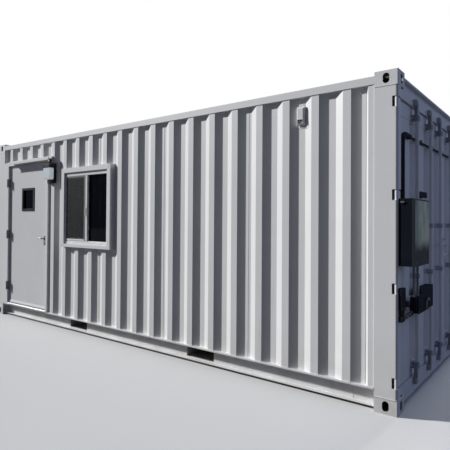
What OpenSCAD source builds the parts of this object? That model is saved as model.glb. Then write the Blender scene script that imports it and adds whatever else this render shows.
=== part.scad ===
// Shipping container cabin: a 20 ft steel box turned into a room.
// It has a personnel door and a sliding window in one long side.
// X runs along the length (+X is the cargo-door end), the door side faces -Y, Z is up.
// The origin is on the ground at the centre of the four corner castings' twistlock pattern.

/* [Container] */
// Length over the corner castings
container_l = 6058; // [5600:1:6600]
// Width over the corner castings
container_w = 2438; // [2300:1:2600]
// Height over the corner castings
container_h = 2591; // [2560:1:2900]

/* [Corner castings] */
// Casting length along the container
casting_l = 178; // [170:1:190]
// Casting width across the container
casting_w = 162; // [150:1:175]
// Casting height
casting_h = 118; // [110:1:125]
// Wall of the casting's sides
casting_wall = 16; // [12:1:20]
// Thickness of the plate with the twistlock slot
casting_plate = 28; // [24:1:30]
// Radius of the casting's outer upright edge
casting_r = 6; // [3:1:14]
// Length of the twistlock slot
slot_l = 124; // [118:1:128]
// Width of the twistlock slot
slot_w = 63.5; // [58:0.5:66]
// Distance of the slot's centre from the casting's end face
slot_inset_x = 102.5; // [98:0.5:106]
// Distance of the slot's centre from the casting's side face
slot_inset_y = 89.5; // [84:0.5:92]
// Height of the oval holes in the casting's side and end
oval_h = 79; // [70:1:82]
// Width of the oval holes
oval_w = 51; // [45:1:56]
// Distance of the oval holes' centres from the casting's outer upright edge
oval_inset = 90; // [80:1:96]

/* [Posts and rails] */
// Depth of a corner post into the width
post_w = 73; // [60:1:80]
// Plate thickness of the posts
post_t = 6; // [4:1:8]
// Radius of the posts' upright edges
post_r = 20; // [10:1:24]
// Height and width of the square top side rail
top_rail = 60; // [50:1:70]
// Wall of the top side rail
top_rail_t = 4; // [3:0.5:6]
// Distance of the top side rail below the casting's top
top_rail_drop = 31; // [24:1:40]
// Height of the bottom side rail's top flange above the ground
rail_top = 178; // [160:1:190]
// Height of the bottom side rail's underside above the ground
rail_bottom = 24; // [14:1:30]
// Depth of the recess between the flange's edge and the rail's web
rail_recess = 85; // [70:1:95]
// Width of the bottom flange
rail_foot = 53; // [40:1:60]
// Height of the lip on the top flange's edge
rail_lip = 14; // [10:1:20]
// Plate thickness of the bottom side rail
rail_t = 4.5; // [4:0.5:6]

/* [Wall sheets] */
// Length of one corrugation
corr_pitch = 278; // [250:1:300]
// Width of the outer flat
corr_outer = 68; // [50:1:80]
// Width of one slope, measured along the wall
corr_slope = 74; // [60:1:80]
// Depth of the corrugation
corr_depth = 36; // [25:1:40]
// Distance of the outer flats behind the container's side plane
corr_setback = 6; // [3:1:10]
// Thickness of the wall sheet
sheet_t = 2; // [1.6:0.1:3]
// Flat strip of sheet between the last slope and the cargo-end post
corr_end_flat = 49; // [30:1:80]
// Width of the short slope beside the end strips
corr_end_slope = 24; // [15:1:40]
// Width of the narrow inner flat beside the cargo-end strip
corr_end_inner = 42; // [20:1:60]

/* [Roof] */
// Thickness of the roof sheet
roof_t = 2; // [1.6:0.1:3]
// Height of the roof's cross ribs
roof_rib_h = 14; // [8:1:20]
// Distance between the cross ribs
roof_rib_pitch = 209; // [180:1:260]
// Width of a rib at its foot
roof_rib_w = 110; // [80:1:140]
// Width of the flat margin round the ribs
roof_margin = 130; // [110:1:180]

/* [Floor] */
// Thickness of the plywood floor
deck_t = 28; // [18:1:30]
// Height of the floor's top above the ground
deck_top = 175; // [165:1:178]
// Distance between the cross members
beam_pitch = 300; // [250:1:450]
// Flange width of a cross member
beam_w = 45; // [40:1:60]
// Plate thickness of a cross member
beam_t = 4; // [3:0.5:5]
// Distance between the fork pockets' centres
pocket_spacing = 2076; // [2000:1:2100]
// Clear length of a fork pocket
pocket_l = 360; // [340:1:380]
// Height of a fork pocket's lower edge above the ground
pocket_z = 36; // [33:1:44]
// Plate thickness of a fork pocket
pocket_t = 5; // [4:1:6]

/* [Room lining] */
// Thickness of the insulated lining panels
lining_t = 40; // [25:1:60]
// Joint between neighbouring lining panels
lining_joint = 2; // [1:0.5:4]
// Number of long lining panels along the back wall
lining_panels = 5; // [3:1:8]

/* [Personnel door] */
// Distance of the door frame's left edge from the corner post
door_inset = 8; // [8:1:300]
// Clear width between the jambs
door_open_w = 1030; // [900:1:1036]
// Distance of the opening's top below the container's top
door_drop = 346; // [330:1:500]
// Face height of the door frame's head
door_head_h = 52; // [40:1:60]
// Face width of the door frame on the latch side
door_frame_w = 43; // [36:1:60]
// Face width of the door frame on the hinge side
door_plate_w = 119.5; // [80:0.5:130]
// Thickness of the hinge side's wide face
door_plate_t = 10; // [6:1:16]
// Distance that the door frame stands out from the side plane
door_proud = 4; // [0:1:10]
// Thickness of the door leaf
leaf_t = 40; // [36:1:42]
// Distance of the leaf's face behind the frame's face
leaf_recess = 30; // [24:1:32]
// Gap between the leaf and the hinge jamb
hinge_gap = 5; // [5:0.5:7]
// Gap between the leaf and the latch jamb
latch_gap = 9.5; // [9.5:0.5:12]
// Gap over and under the leaf
leaf_gap = 6; // [5:0.5:8]
// Width that the door stop covers behind the leaf
stop_w = 16; // [12:1:20]
// Height of the threshold over the bottom rail's flange
threshold_h = 20; // [12:1:26]
// Height of the drip strip on the leaf's foot
drip_h = 42; // [30:1:50]
// Distance that the drip strip stands out from the leaf
drip_out = 10; // [6:1:12]
// Side of the square vision lite's cut-out
lite = 300; // [250:1:350]
// Distance of the lite's centre to the right of the leaf's centre
lite_shift = 7; // [0:1:30]
// Height of the lite's centre above the ground
lite_z = 1734; // [1600:1:1800]
// Cover width of the lite's frame over the leaf
lite_cover = 16; // [10:1:22]
// Thickness of the lite's frame on each face
lite_frame_t = 7; // [4:1:10]
// Thickness of the lite's glass
lite_glass_t = 6; // [4:1:8]

/* [Door hardware] */
// Radius of the hinge knuckles
knuckle_r = 7.5; // [7:0.1:7.6]
// Distance of the hinge pins in front of the door frame's face
hinge_out = 15.5; // [14:0.5:17]
// Radius of the hinge pin
hinge_pin_r = 4; // [3:0.1:4.5]
// Running clearance round the pins and the spindle
running = 0.08; // [0.05:0.01:0.1]
// Height of a door hinge
hinge_h = 120; // [90:1:140]
// Distance of the outer hinges' centres from the leaf's ends
hinge_inset = 250; // [200:1:320]
// Thickness of the hinge plates
hinge_plate_t = 2; // [1.5:0.1:2]
// Height of the lever above the ground
lever_z = 1186; // [1000:1:1250]
// Distance of the lever's spindle from the leaf's latch edge
lever_backset = 55; // [50:1:80]
// Length of the lever
lever_l = 122; // [100:1:140]
// Thickness of the lever bar
lever_r = 11; // [7:0.5:12]
// Radius of the round plate behind the lever
rose_r = 33; // [22:1:36]
// Radius of the spindle where it passes through the leaf
spindle_r = 10; // [8:0.5:12]
// Distance of the lever bar from the leaf's face
lever_out = 52; // [40:1:60]
// Radius of the lock cylinder
lock_r = 17; // [12:1:22]
// Distance of the lock cylinder above the lever
lock_rise = -78; // [-90:1:-70]

/* [Drip cap] */
// Length of the drip cap over the door
cap_l = 1088; // [900:1:1150]
// Distance of the cap's centre to the right of the door's centre
cap_shift = 127.5; // [0:0.5:150]
// Distance that the cap's edge stands out from the side plane
cap_out = 74; // [50:1:90]
// Rise of the cap's slope
cap_rise = 15; // [5:1:40]
// Height of the cap's turned-down edge
cap_edge = 36; // [10:1:40]
// Height of the flange that holds the cap on the wall
cap_stand = 12; // [8:1:30]
// Thickness of the cap's sheet
cap_t = 3; // [2:0.5:5]

/* [Window] */
// Distance of the window surround from the outside light
window_gap = 179; // [100:0.5:300]
// Distance that the window surround stands out from the side plane
window_proud = 33; // [20:1:45]
// Outer width of the window surround
window_w = 1001; // [800:1:1010]
// Outer height of the window surround
window_h = 1020; // [800:1:1050]
// Height of the surround's underside above the ground
window_z = 1094; // [1000:1:1150]
// Face width of the surround
surround_w = 60; // [40:1:70]
// Face width of the window frame's sides
sash_frame = 28; // [22:1:40]
// Face height of the window frame's head
sash_head = 48; // [30:1:55]
// Height of the window frame's sill
sash_sill = 45; // [35:1:60]
// Depth of the window frame
sash_depth = 52; // [45:1:60]
// Distance of the window frame behind the surround's face
sash_recess = 20; // [14:1:30]
// Face width of the meeting stile and of the sliding sash
stile_w = 56; // [35:1:64]
// Thickness of the window glass
glass_t = 5; // [4:1:8]
// Face width of the insect screen's frame
screen_w = 22; // [14:1:26]
// Thickness of the insect screen's frame
screen_t = 7; // [5:1:8]

/* [Wall vents] */
// Number of corrugations between the vent and the cargo end
vent_bay = 1; // [0:1:6]
// Distance of the vent's top below the top side rail
vent_drop = 48; // [40:1:200]
// Height of the vent
vent_h = 212; // [180:1:240]
// Width of the vent's ears
vent_ear_w = 54; // [40:1:56]
// Width of the vent's hood
vent_hood_w = 74; // [60:1:80]
// Distance that the vent's hood stands out from the inner flat
vent_out = 40; // [36:1:60]
// Height of the hood's louvred mouth
vent_mouth_h = 40; // [24:1:50]

/* [Exterior light] */
// Distance of the light from the door frame
light_gap = 27; // [20:1:60]
// Width of the light
light_w = 164; // [140:1:170]
// Distance of the light's top below the top of the door's opening
light_drop = 44; // [0:1:120]
// Height of the light
light_h = 250; // [200:1:260]
// Height of the hood above the lens
light_hood_h = 62; // [50:1:80]
// Distance that the light stands out from the side plane
light_out = 100; // [90:1:150]
// Depth of the light's back housing
light_back = 30; // [25:1:45]
// Distance of the light sensor to the right of the light's middle
sensor_shift = 35; // [0:1:50]
// Radius of the light sensor
sensor_r = 15; // [12:1:20]

/* [Cargo doors] */
// Distance of the header and sill behind the castings' end plane
cargo_setback = 39; // [38:1:50]
// Distance of the leaves' face behind the castings' end plane
leaf_setback = 57; // [56:1:70]
// Thickness of the leaves' frame
cargo_leaf_t = 50; // [40:1:60]
// Distance of the header's underside below the container's top
header_drop = 174; // [150:1:190]
// Height of the sill's top above the ground
sill_top = 150; // [140:1:160]
// Height of the sill's underside above the ground
sill_bottom = 20; // [15:1:30]
// Depth of the header and the sill
header_d = 60; // [50:1:75]
// Gap round each leaf that the seal fills
leaf_seal = 8; // [6:1:10]
// Width of the leaf frame's top and bottom members
leaf_rail_w = 118; // [80:1:130]
// Width of the leaf frame's upright members
leaf_stile_w = 70; // [50:1:80]
// Distance of the inner locking bars from the centre
bar_inner_y = 190; // [170:1:220]
// Distance of the outer locking bars from the centre
bar_outer_y = 640; // [600:1:680]
// Radius of the locking bars
bar_r = 17; // [14:0.5:18]
// Distance of the locking bars' axis behind the castings' end plane
bar_setback = 17; // [17:0.5:18.5]
// Width of the recess behind a locking bar
bar_recess_w = 170; // [150:1:190]
// Height of the handles' hubs above the ground
hub_z = 1200; // [1000:1:1300]
// Length of a bar handle
handle_l = 345; // [280:1:380]
// Height of the bars' guides on the leaves
guide_h = 40; // [30:1:60]
// Distance of the end guides from the leaves' ends
guide_end = 70; // [50:1:120]
// Distance of the middle guides from the height of the handles' hubs
guide_mid = 190; // [150:1:240]
// Depth of the rubber seals along the container
seal_d = 22; // [14:1:30]
// Height step between the handles of one leaf
handle_step = 110; // [80:1:160]
// Distance of the end hinges' middles from the ground and from the container's top
hinge_end = 243; // [220:1:320]
// Number of hinges on each leaf
cargo_hinge_count = 4; // [3:1:5]
// Height of a cargo hinge's cut-out in the post
notch_h = 80; // [70:1:95]
// Width of the cut-out along the container
notch_w = 44; // [38:1:60]

/* [Electrical] */
// Distance of the main panel from the side plane
panel_inset = 16; // [10:1:36]
// Width of the main panel
panel_w = 386; // [300:1:400]
// Height of the main panel
panel_h = 503; // [450:1:600]
// Height of the main panel's underside above the ground
panel_z = 1115; // [1000:1:1150]
// Distance of the panel's cover in front of the corner post
panel_d = 121; // [100:1:150]
// Thickness of the panel's cover
cover_t = 22; // [10:1:26]
// Height of the rain edge over the panel's cover
cover_edge = 12; // [8:1:20]
// Length of the struts behind the panel
strut_l = 229; // [150:1:260]
// Height of a strut
strut_h = 34; // [20:1:41]
// Radius of the conduits
conduit_r = 8; // [7:0.5:12]
// Distance of the first conduit's axis in front of the corner post
conduit_out = 27; // [16:1:36]
// How much further out the second conduit stands
conduit_step = 11; // [0:1:20]
// Distance of the conduits' middle from the panel's middle
conduit_shift = 145.5; // [130:0.5:150]
// Distance between the conduits
conduit_gap = 71; // [40:1:76]
// Height of the meter box's underside above the ground
meter_z = 724; // [700:1:760]
// Height of the meter box
meter_h = 126; // [100:1:180]
// Width of the meter box
meter_w = 287; // [240:1:300]
// Distance between the middles of the main panel and the meter box
meter_shift = 240; // [225:1:245]
// Depth of the meter box
meter_d = 62; // [45:1:80]
// Height of the post box's underside above the ground
post_box_z = 786; // [760:1:820]
// Height of the post box
post_box_h = 163; // [100:1:180]
// Width of the post box
post_box_w = 80; // [50:1:86]
// Depth of the post box
post_box_d = 25; // [18:1:40]
// Height of the switch box's underside above the ground
switch_z = 688; // [670:1:760]
// Height of the switch box
switch_h = 189; // [120:1:220]
// Width of the switch box between the locking bars
switch_w = 396; // [300:1:400]
// Depth of the switch box
switch_d = 62; // [40:1:80]
// Height of the junction box's underside above the ground
junction_z = 1660; // [1640:1:1800]
// Height of the junction box
junction_h = 46; // [40:1:80]
// Width of the junction box
junction_w = 210; // [120:1:240]
// Y position of the junction box's centre
junction_y = -435; // [-445:1:-400]
// Depth of the junction box
junction_d = 38; // [25:1:50]
// Radius of the service cable
cable_r = 10; // [7:0.5:10.5]
// Distance of the cable's upright run from the main panel's middle
cable_shift = 22; // [10:1:50]
// Distance of the cable's level run below the header
cable_drop = 271; // [180:1:320]
// Distance of the first cable clip from the cable's upright run
clip_start = 208; // [180:1:240]
// Distance between the cable clips
clip_pitch = 400; // [380:1:410]
// Y position of the gland at the cable's far end
cable_end_y = 800; // [700:1:900]
// Length of the gland at the cable's far end
gland_l = 60; // [40:1:80]
// Height of the gland
gland_h = 60; // [40:1:70]
// Bend radius of the cable's centre line
cable_bend = 80; // [60:1:110]

/* [Hidden] */
$fn = 48;

// Small clearances that seat one piece on another
touch = 0;
seat = 0.3;
eps = 1;

// Planes of the box
end_x = container_l / 2;
side_y = container_w / 2;
post_x = end_x - casting_l;
post_y = side_y - post_w;
post_top = container_h - casting_h;
rail_z1 = container_h - top_rail_drop;
rail_z0 = rail_z1 - top_rail;
end_wall_top = rail_z0 - top_rail;
web_y = side_y - rail_recess;
outer_y = side_y - corr_setback;
inner_y = outer_y - corr_depth;
lining_y = inner_y - lining_t;
ceiling_z = rail_z0 - lining_t;
deck_z = deck_top - deck_t;
pocket_top = deck_z - pocket_t;

// Personnel door
door_x = -post_x + door_inset + door_plate_w + door_open_w / 2;
door_open_top = container_h - door_drop;
frame_y = side_y + door_proud;
door_x0 = door_x - door_open_w / 2;
door_x1 = door_x + door_open_w / 2;
leaf_x0 = door_x0 + hinge_gap;
leaf_x1 = door_x1 - latch_gap;
leaf_y = frame_y - leaf_recess;
leaf_z0 = rail_top + threshold_h + leaf_gap;
leaf_z1 = door_open_top - leaf_gap;
door_top = door_open_top + door_head_h;
frame_x0 = door_x0 - door_plate_w;
frame_x1 = door_x1 + door_frame_w;
pin_x = door_x0 + hinge_gap / 2;
pin_y = frame_y + hinge_out;
hinge_heights = [leaf_z0 + hinge_inset, (leaf_z0 + leaf_z1) / 2, leaf_z1 - hinge_inset];
lever_x = leaf_x1 - lever_backset;
lite_x = (leaf_x0 + leaf_x1) / 2 + lite_shift;

// Exterior light
light_x = frame_x1 + light_gap + light_w / 2;
light_z = door_open_top - light_drop - light_h;

// Window
win_x0 = light_x + light_w / 2 + window_gap;
win_x1 = win_x0 + window_w;
window_x = win_x0 + window_w / 2;
win_z1 = window_z + window_h;
win_in_x0 = win_x0 + surround_w;
win_in_x1 = win_x1 - surround_w;
win_in_z0 = window_z + surround_w * 2 / 3;
win_in_z1 = win_z1 - surround_w;
surround_y = side_y + window_proud;
sash_y = surround_y - sash_recess;

// Corrugation of a long side: where its first outer flat ends at the cargo end
corr_x1 = post_x - corr_end_flat - corr_end_slope - corr_end_inner - corr_slope;
corr_left_need = corr_outer + corr_slope + corr_end_slope + 30;
corr_count = floor((corr_x1 + post_x - corr_left_need) / corr_pitch) + 1;
corr_inner = corr_pitch - corr_outer - 2 * corr_slope;
vent_x = corr_x1 - vent_bay * corr_pitch - corr_outer - corr_slope - corr_inner / 2;
vent_top = rail_z0 - vent_drop;

// Cargo end
header_x = end_x - cargo_setback;
header_z = container_h - header_drop;
cargo_leaf_x = end_x - leaf_setback;
bar_x = end_x - bar_setback;
cargo_z0 = sill_top + leaf_seal;
cargo_z1 = header_z - leaf_seal;
cargo_y1 = post_y - leaf_seal;
bar_ys = [-bar_outer_y, -bar_inner_y, bar_inner_y, bar_outer_y];
hinge_step = (container_h - 2 * hinge_end) / (cargo_hinge_count - 1);
cargo_hinge_heights = [for (i = [0 : cargo_hinge_count - 1]) hinge_end + i * hinge_step];
panel_x = end_x;
panel_y = panel_inset + panel_w / 2 - side_y;
meter_y = panel_y + meter_shift;
cable_y = panel_y + cable_shift;
meter_x = end_x + 2;
meter_top = meter_z + meter_h;
cable_x = cargo_leaf_x + cable_r + 1.5;
cable_z = header_z - cable_drop;
strut_z1 = panel_z + panel_h - 40;

white = [0.93, 0.93, 0.92];
steel = [0.62, 0.63, 0.65];
dark = [0.16, 0.17, 0.20];
black = [0.05, 0.05, 0.05];

// A flat outline with two round ends, its long way along X
module stadium(l, w) {
    square([l - w, w], center = true);
    translate([(l - w) / 2, 0]) circle(d = w);
    translate([(w - l) / 2, 0]) circle(d = w);
}

// A flat rectangle from a corner, with all four corners round
module round_rect(l, w, r) {
    translate([r, 0]) square([l - 2 * r, w]);
    translate([0, r]) square([l, w - 2 * r]);
    for (x = [r, l - r], y = [r, w - r]) translate([x, y]) circle(r = r);
}

// A box between two opposite corners
module block(a, b) {
    translate(a) cube(b - a);
}

// A copy on the other long side
module both_sides() {
    children();
    mirror([0, 1, 0]) children();
}

// A bar along X with its outline drawn in Y and Z
module along_x(x0, x1) {
    translate([x0, 0, 0]) rotate([90, 0, 90]) linear_extrude(x1 - x0) children();
}

// A bar along Y with its outline drawn in X and Z
module along_y(y0, y1) {
    translate([0, y1, 0]) rotate([90, 0, 0]) linear_extrude(y1 - y0) children();
}

// One corner casting in the corner at the origin, growing along +X and +Y, its slot underneath
module casting() {
    difference() {
        linear_extrude(casting_h) {
            translate([casting_r, 0]) square([casting_l - casting_r, casting_w]);
            translate([0, casting_r]) square([casting_l, casting_w - casting_r]);
            translate([casting_r, casting_r]) circle(r = casting_r);
        }
        block([casting_wall, casting_wall, casting_plate],
              [casting_l - casting_wall, casting_w - casting_wall, casting_h - casting_wall]);
        translate([slot_inset_x, slot_inset_y, -eps]) linear_extrude(casting_plate + 2 * eps)
            stadium(slot_l, slot_w);
        translate([oval_inset, -eps, casting_h / 2]) rotate([90, 90, 180])
            linear_extrude(casting_wall + 2 * eps) stadium(oval_h, oval_w);
        translate([-eps, oval_inset, casting_h / 2]) rotate([0, 90, 0])
            linear_extrude(casting_wall + 2 * eps) stadium(oval_h, oval_w);
    }
}

// The four corners of the box, each turned so that +X and +Y run inwards
module at_corners() {
    for (sx = [-1, 1], sy = [-1, 1])
        translate([sx * end_x, sy * side_y, 0])
            mirror([sx > 0 ? 1 : 0, 0, 0]) mirror([0, sy > 0 ? 1 : 0, 0]) children();
}

// The two corners at one end
module at_end(sx) {
    for (sy = [-1, 1])
        translate([sx * end_x, sy * side_y, 0])
            mirror([sx > 0 ? 1 : 0, 0, 0]) mirror([0, sy > 0 ? 1 : 0, 0]) children();
}

module bottom_castings() {
    color(white) at_corners() casting();
}

module top_castings() {
    color(white) at_corners() translate([0, 0, container_h]) mirror([0, 0, 1]) casting();
}

// A closed post in the corner at the origin
module post() {
    translate([0, 0, casting_h]) linear_extrude(post_top - casting_h) difference() {
        union() {
            translate([post_r, 0]) square([casting_l - post_r, post_w]);
            translate([0, post_r]) square([casting_l, post_w - post_r]);
            translate([post_r, post_r]) circle(r = post_r);
        }
        translate([post_t, post_t])
            round_rect(casting_l - 2 * post_t, post_w - 2 * post_t, max(2, post_r - post_t));
    }
}

module cargo_end_posts() {
    color(white) at_end(1) difference() {
        post();
        for (z = cargo_hinge_heights)
            translate([-eps, -eps, z - notch_h / 2]) cube([notch_w + eps, post_w + 2 * eps, notch_h]);
    }
}

module blank_end_posts() {
    color(white) at_end(-1) post();
}

// Top of a bottom side rail in Y and Z: the top flange with its lip, and the web above the pockets
module rail_flange_outline() {
    polygon([
        [-side_y, rail_top], [-web_y + rail_t, rail_top], [-web_y + rail_t, pocket_top],
        [-web_y, pocket_top], [-web_y, rail_top - rail_t], [-side_y + rail_t, rail_top - rail_t],
        [-side_y + rail_t, rail_top - rail_lip], [-side_y, rail_top - rail_lip]
    ]);
}

// Foot of the rail up to a height: the bottom flange and the web
module rail_foot_outline(z1) {
    polygon([
        [-web_y - rail_foot, rail_bottom], [-web_y + rail_t, rail_bottom], [-web_y + rail_t, z1],
        [-web_y, z1], [-web_y, rail_bottom + rail_t], [-web_y - rail_foot, rail_bottom + rail_t]
    ]);
}

module bottom_side_rails() {
    color(white) both_sides() along_x(-post_x, post_x) rail_flange_outline();
}

// The rail's web and bottom flange, left open where the fork pockets pass
module bottom_rail_webs() {
    x0 = pocket_spacing / 2 - pocket_l / 2;
    x1 = pocket_spacing / 2 + pocket_l / 2;
    color(white) both_sides() {
        along_x(-post_x, -x1) rail_foot_outline(pocket_top);
        along_x(-x0, x0) rail_foot_outline(pocket_top);
        along_x(x1, post_x) rail_foot_outline(pocket_top);
    }
}

// The narrow strip of rail under each pocket's mouth
module pocket_straps() {
    color(white) both_sides() for (s = [-1, 1])
        along_x(s * pocket_spacing / 2 - pocket_l / 2, s * pocket_spacing / 2 + pocket_l / 2)
            rail_foot_outline(pocket_z);
}

module top_side_rails() {
    color(white) both_sides() difference() {
        block([-post_x, -side_y, rail_z0], [post_x, -side_y + top_rail, rail_z1]);
        block([-post_x - eps, -side_y + top_rail_t, rail_z0 + top_rail_t],
              [post_x + eps, -side_y + top_rail - top_rail_t, rail_z1 - top_rail_t]);
    }
}

// Solid beam across an end: between the castings, and as far as the posts where it passes them
module end_beam(x0, x1, z0, z1) {
    y1 = side_y - casting_w;
    block([x0, -y1, z0], [x1, y1, z1]);
    block([x0, -post_y, max(z0, casting_h)], [x1, post_y, min(z1, post_top)]);
}

// Header and sill of the blank end, each a channel open to the inside
module end_channel(z0, z1) {
    difference() {
        end_beam(-end_x, -end_x + header_d, z0, z1);
        block([-end_x + rail_t, -side_y, z0 + rail_t], [-end_x + header_d + eps, side_y, z1 - rail_t]);
    }
}

module blank_end_rails() {
    end_channel(end_wall_top, rail_z1);
    end_channel(rail_bottom, rail_top);
}

module cargo_header() {
    y1 = side_y - casting_w;
    difference() {
        union() {
            end_beam(header_x - header_d, header_x, header_z, rail_z1);
            block([header_x, -y1, rail_z1 - 12], [end_x - 6, y1, rail_z1]);
        }
        block([header_x - header_d + rail_t, -side_y, header_z + rail_t],
              [header_x - rail_t, side_y, rail_z1 - rail_t]);
    }
}

module cargo_sill() {
    difference() {
        end_beam(header_x - header_d, header_x, sill_bottom, sill_top);
        block([header_x - header_d - eps, -side_y, sill_bottom + rail_t],
              [header_x - rail_t, side_y, sill_top - rail_t]);
    }
}

module end_rails() {
    color(white) {
        blank_end_rails();
        cargo_header();
        cargo_sill();
    }
}

// Cross members stand clear of the fork pockets
module cross_members() {
    n = floor((post_x - 60) / beam_pitch);
    y1 = web_y - rail_t;
    color(steel) for (i = [-n : n])
        if (abs(abs(i * beam_pitch) - pocket_spacing / 2) > pocket_l / 2 + pocket_t + beam_w)
            translate([i * beam_pitch - beam_w / 2, 0, 0]) difference() {
                block([0, -y1, rail_bottom + rail_t], [beam_w, y1, deck_z]);
                block([beam_t, -y1 - eps, rail_bottom + rail_t + beam_t],
                      [beam_w + eps, y1 + eps, deck_z - beam_t]);
            }
}

// Each pocket is welded from four plates
module fork_pockets() {
    y1 = web_y - rail_t;
    x1 = pocket_l / 2 + pocket_t;
    color(steel) for (s = [-1, 1])
        translate([s * pocket_spacing / 2, 0, 0]) {
            block([-x1, -y1, pocket_z - pocket_t], [x1, y1, pocket_z]);
            block([-x1, -y1, pocket_top], [x1, y1, deck_z]);
            for (t = [-1, 1])
                translate([t * (pocket_l + pocket_t) / 2 - pocket_t / 2, 0, 0])
                    block([0, -y1, pocket_z + seat], [pocket_t, y1, pocket_top - seat]);
        }
}

module floor_deck() {
    y1 = web_y - rail_t;
    x1 = cargo_leaf_x - cargo_leaf_t - seat;
    color("burlywood") block([-end_x + header_d, -y1, deck_z], [x1, y1, deck_top]);
}

// Outline of the roof's ribs in X and Z, lowered by a given amount
module rib_outline(lower) {
    n = floor((post_x - roof_margin) / roof_rib_pitch);
    foot = roof_rib_w / 2 - lower;
    for (i = [-n : n])
        translate([i * roof_rib_pitch, rail_z1 + roof_t])
            polygon([[-foot - 4, -roof_t - 4], [-foot - 4, -lower], [-foot, -lower],
                     [-foot + roof_rib_h * 1.5, roof_rib_h - lower],
                     [foot - roof_rib_h * 1.5, roof_rib_h - lower], [foot, -lower],
                     [foot + 4, -lower], [foot + 4, -roof_t - 4]]);
}

// Limits of the ribs across the roof, with sloped ends
module rib_ends(lower) {
    y1 = side_y - roof_margin - lower;
    z1 = rail_z1 + roof_t + roof_rib_h;
    polygon([[-y1, rail_z1 - 4], [-y1, rail_z1 + roof_t - lower], [-y1 + roof_rib_h * 2, z1 - lower],
             [y1 - roof_rib_h * 2, z1 - lower], [y1, rail_z1 + roof_t - lower], [y1, rail_z1 - 4]]);
}

module roof_sheet() {
    x1 = end_x - 6;
    y1 = side_y - 5;
    color(white) difference() {
        union() {
            block([-x1, -y1, rail_z1], [x1, y1, rail_z1 + roof_t]);
            intersection() {
                along_y(-side_y, side_y) rib_outline(0);
                along_x(-end_x, end_x) rib_ends(0);
                block([-end_x, -side_y, rail_z1], [end_x, side_y, container_h]);
            }
        }
        intersection() {
            along_y(-side_y, side_y) rib_outline(roof_t);
            along_x(-end_x, end_x) rib_ends(roof_t);
        }
        at_corners() block([-eps, -eps, rail_z1 - eps],
                           [casting_l + seat, casting_w + seat, container_h + eps]);
    }
}

// Centre line of a long side's sheet, from the cargo end to the blank end, in X and Y
function side_points() = concat(
    [[post_x, -outer_y], [post_x - corr_end_flat, -outer_y],
     [post_x - corr_end_flat - corr_end_slope, -inner_y],
     [corr_x1 + corr_slope, -inner_y]],
    [for (i = [0 : corr_count - 1], p = [0 : 3])
        let(x = corr_x1 - i * corr_pitch)
        p == 0 ? [x, -outer_y] :
        p == 1 ? [x - corr_outer, -outer_y] :
        p == 2 ? [x - corr_outer - corr_slope, -inner_y] :
        i < corr_count - 1 ? [x - corr_outer - corr_slope - corr_inner, -inner_y] :
            [-post_x + corr_end_slope, -inner_y]],
    [[-post_x, -outer_y]]
);

// A folded sheet of even thickness behind a chain of points, as a flat outline
module folded_sheet(pts, dy) {
    n = len(pts);
    polygon(concat(pts, [for (i = [n - 1 : -1 : 0]) pts[i] + [0, dy]]));
}

// The door-side sheet between two heights and two places along the wall
module side_sheet(x0, x1, z0, z1) {
    color(white) intersection() {
        translate([0, 0, z0]) linear_extrude(z1 - z0) folded_sheet(side_points(), sheet_t);
        block([x0, -side_y - eps, z0 - eps], [x1, -inner_y + 3 * eps + sheet_t, z1 + eps]);
    }
}

// Full-height strips left of the door, between the openings and right of the window
module front_wall() {
    side_sheet(-post_x - eps, frame_x0, rail_top, rail_z0);
    side_sheet(frame_x1, win_x0, rail_top, rail_z0);
    side_sheet(win_x1, post_x + eps, rail_top, rail_z0);
}

// Sheet over the door, and over and under the window
module front_wall_at_openings() {
    side_sheet(frame_x0, frame_x1, door_top, rail_z0);
    side_sheet(win_x0, win_x1, win_z1, rail_z0);
    side_sheet(win_x0, win_x1, rail_top, window_z);
}

module back_wall() {
    rotate([0, 0, 180]) side_sheet(-post_x - eps, post_x + eps, rail_top, rail_z0);
}

// The blank end's sheet, with the same folds turned through a right angle
module blank_end_wall() {
    span = post_y;
    n = floor((2 * span - 2 * corr_end_flat - corr_outer) / corr_pitch);
    y0 = -n * corr_pitch / 2;
    x_out = -end_x + corr_setback;
    x_in = x_out + corr_depth;
    pts = concat(
        [[x_out, -span]],
        [for (i = [0 : n - 1], p = [0 : 3])
            let(y = y0 + i * corr_pitch)
            p == 0 ? [x_out, y + corr_outer / 2] :
            p == 1 ? [x_in, y + corr_outer / 2 + corr_slope] :
            p == 2 ? [x_in, y + corr_outer / 2 + corr_slope + corr_inner] :
                     [x_out, y + corr_pitch - corr_outer / 2]],
        [[x_out, span]]
    );
    back = [for (i = [len(pts) - 1 : -1 : 0]) pts[i] + [sheet_t, 0]];
    color(white) translate([0, 0, rail_top]) linear_extrude(end_wall_top - rail_top)
        polygon(concat(pts, back));
}

// A lining panel on the door side between two places and two heights
module lining_panel(x0, x1, z0, z1) {
    block([x0 + lining_joint / 2, -inner_y + sheet_t, z0], [x1 - lining_joint / 2, -lining_y, z1]);
}

module front_lining() {
    right = [for (i = [0 : 3]) win_x1 + (post_x - win_x1) * i / 3];
    color("whitesmoke") {
        lining_panel(-post_x, door_x0 - door_head_h, rail_top, ceiling_z);
        lining_panel(door_x0 - door_head_h, frame_x1, door_top + lining_joint, ceiling_z);
        lining_panel(frame_x1, win_x0, rail_top, ceiling_z);
        lining_panel(win_x0, win_x1, win_z1 + lining_joint, ceiling_z);
        lining_panel(win_x0, win_x1, rail_top, window_z - lining_joint);
        for (i = [0 : 2]) lining_panel(right[i], right[i + 1], rail_top, ceiling_z);
    }
}

module back_lining() {
    step = 2 * post_x / lining_panels;
    color("whitesmoke") mirror([0, 1, 0]) for (i = [0 : lining_panels - 1])
        lining_panel(i * step - post_x, (i + 1) * step - post_x, rail_top, ceiling_z);
}

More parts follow.
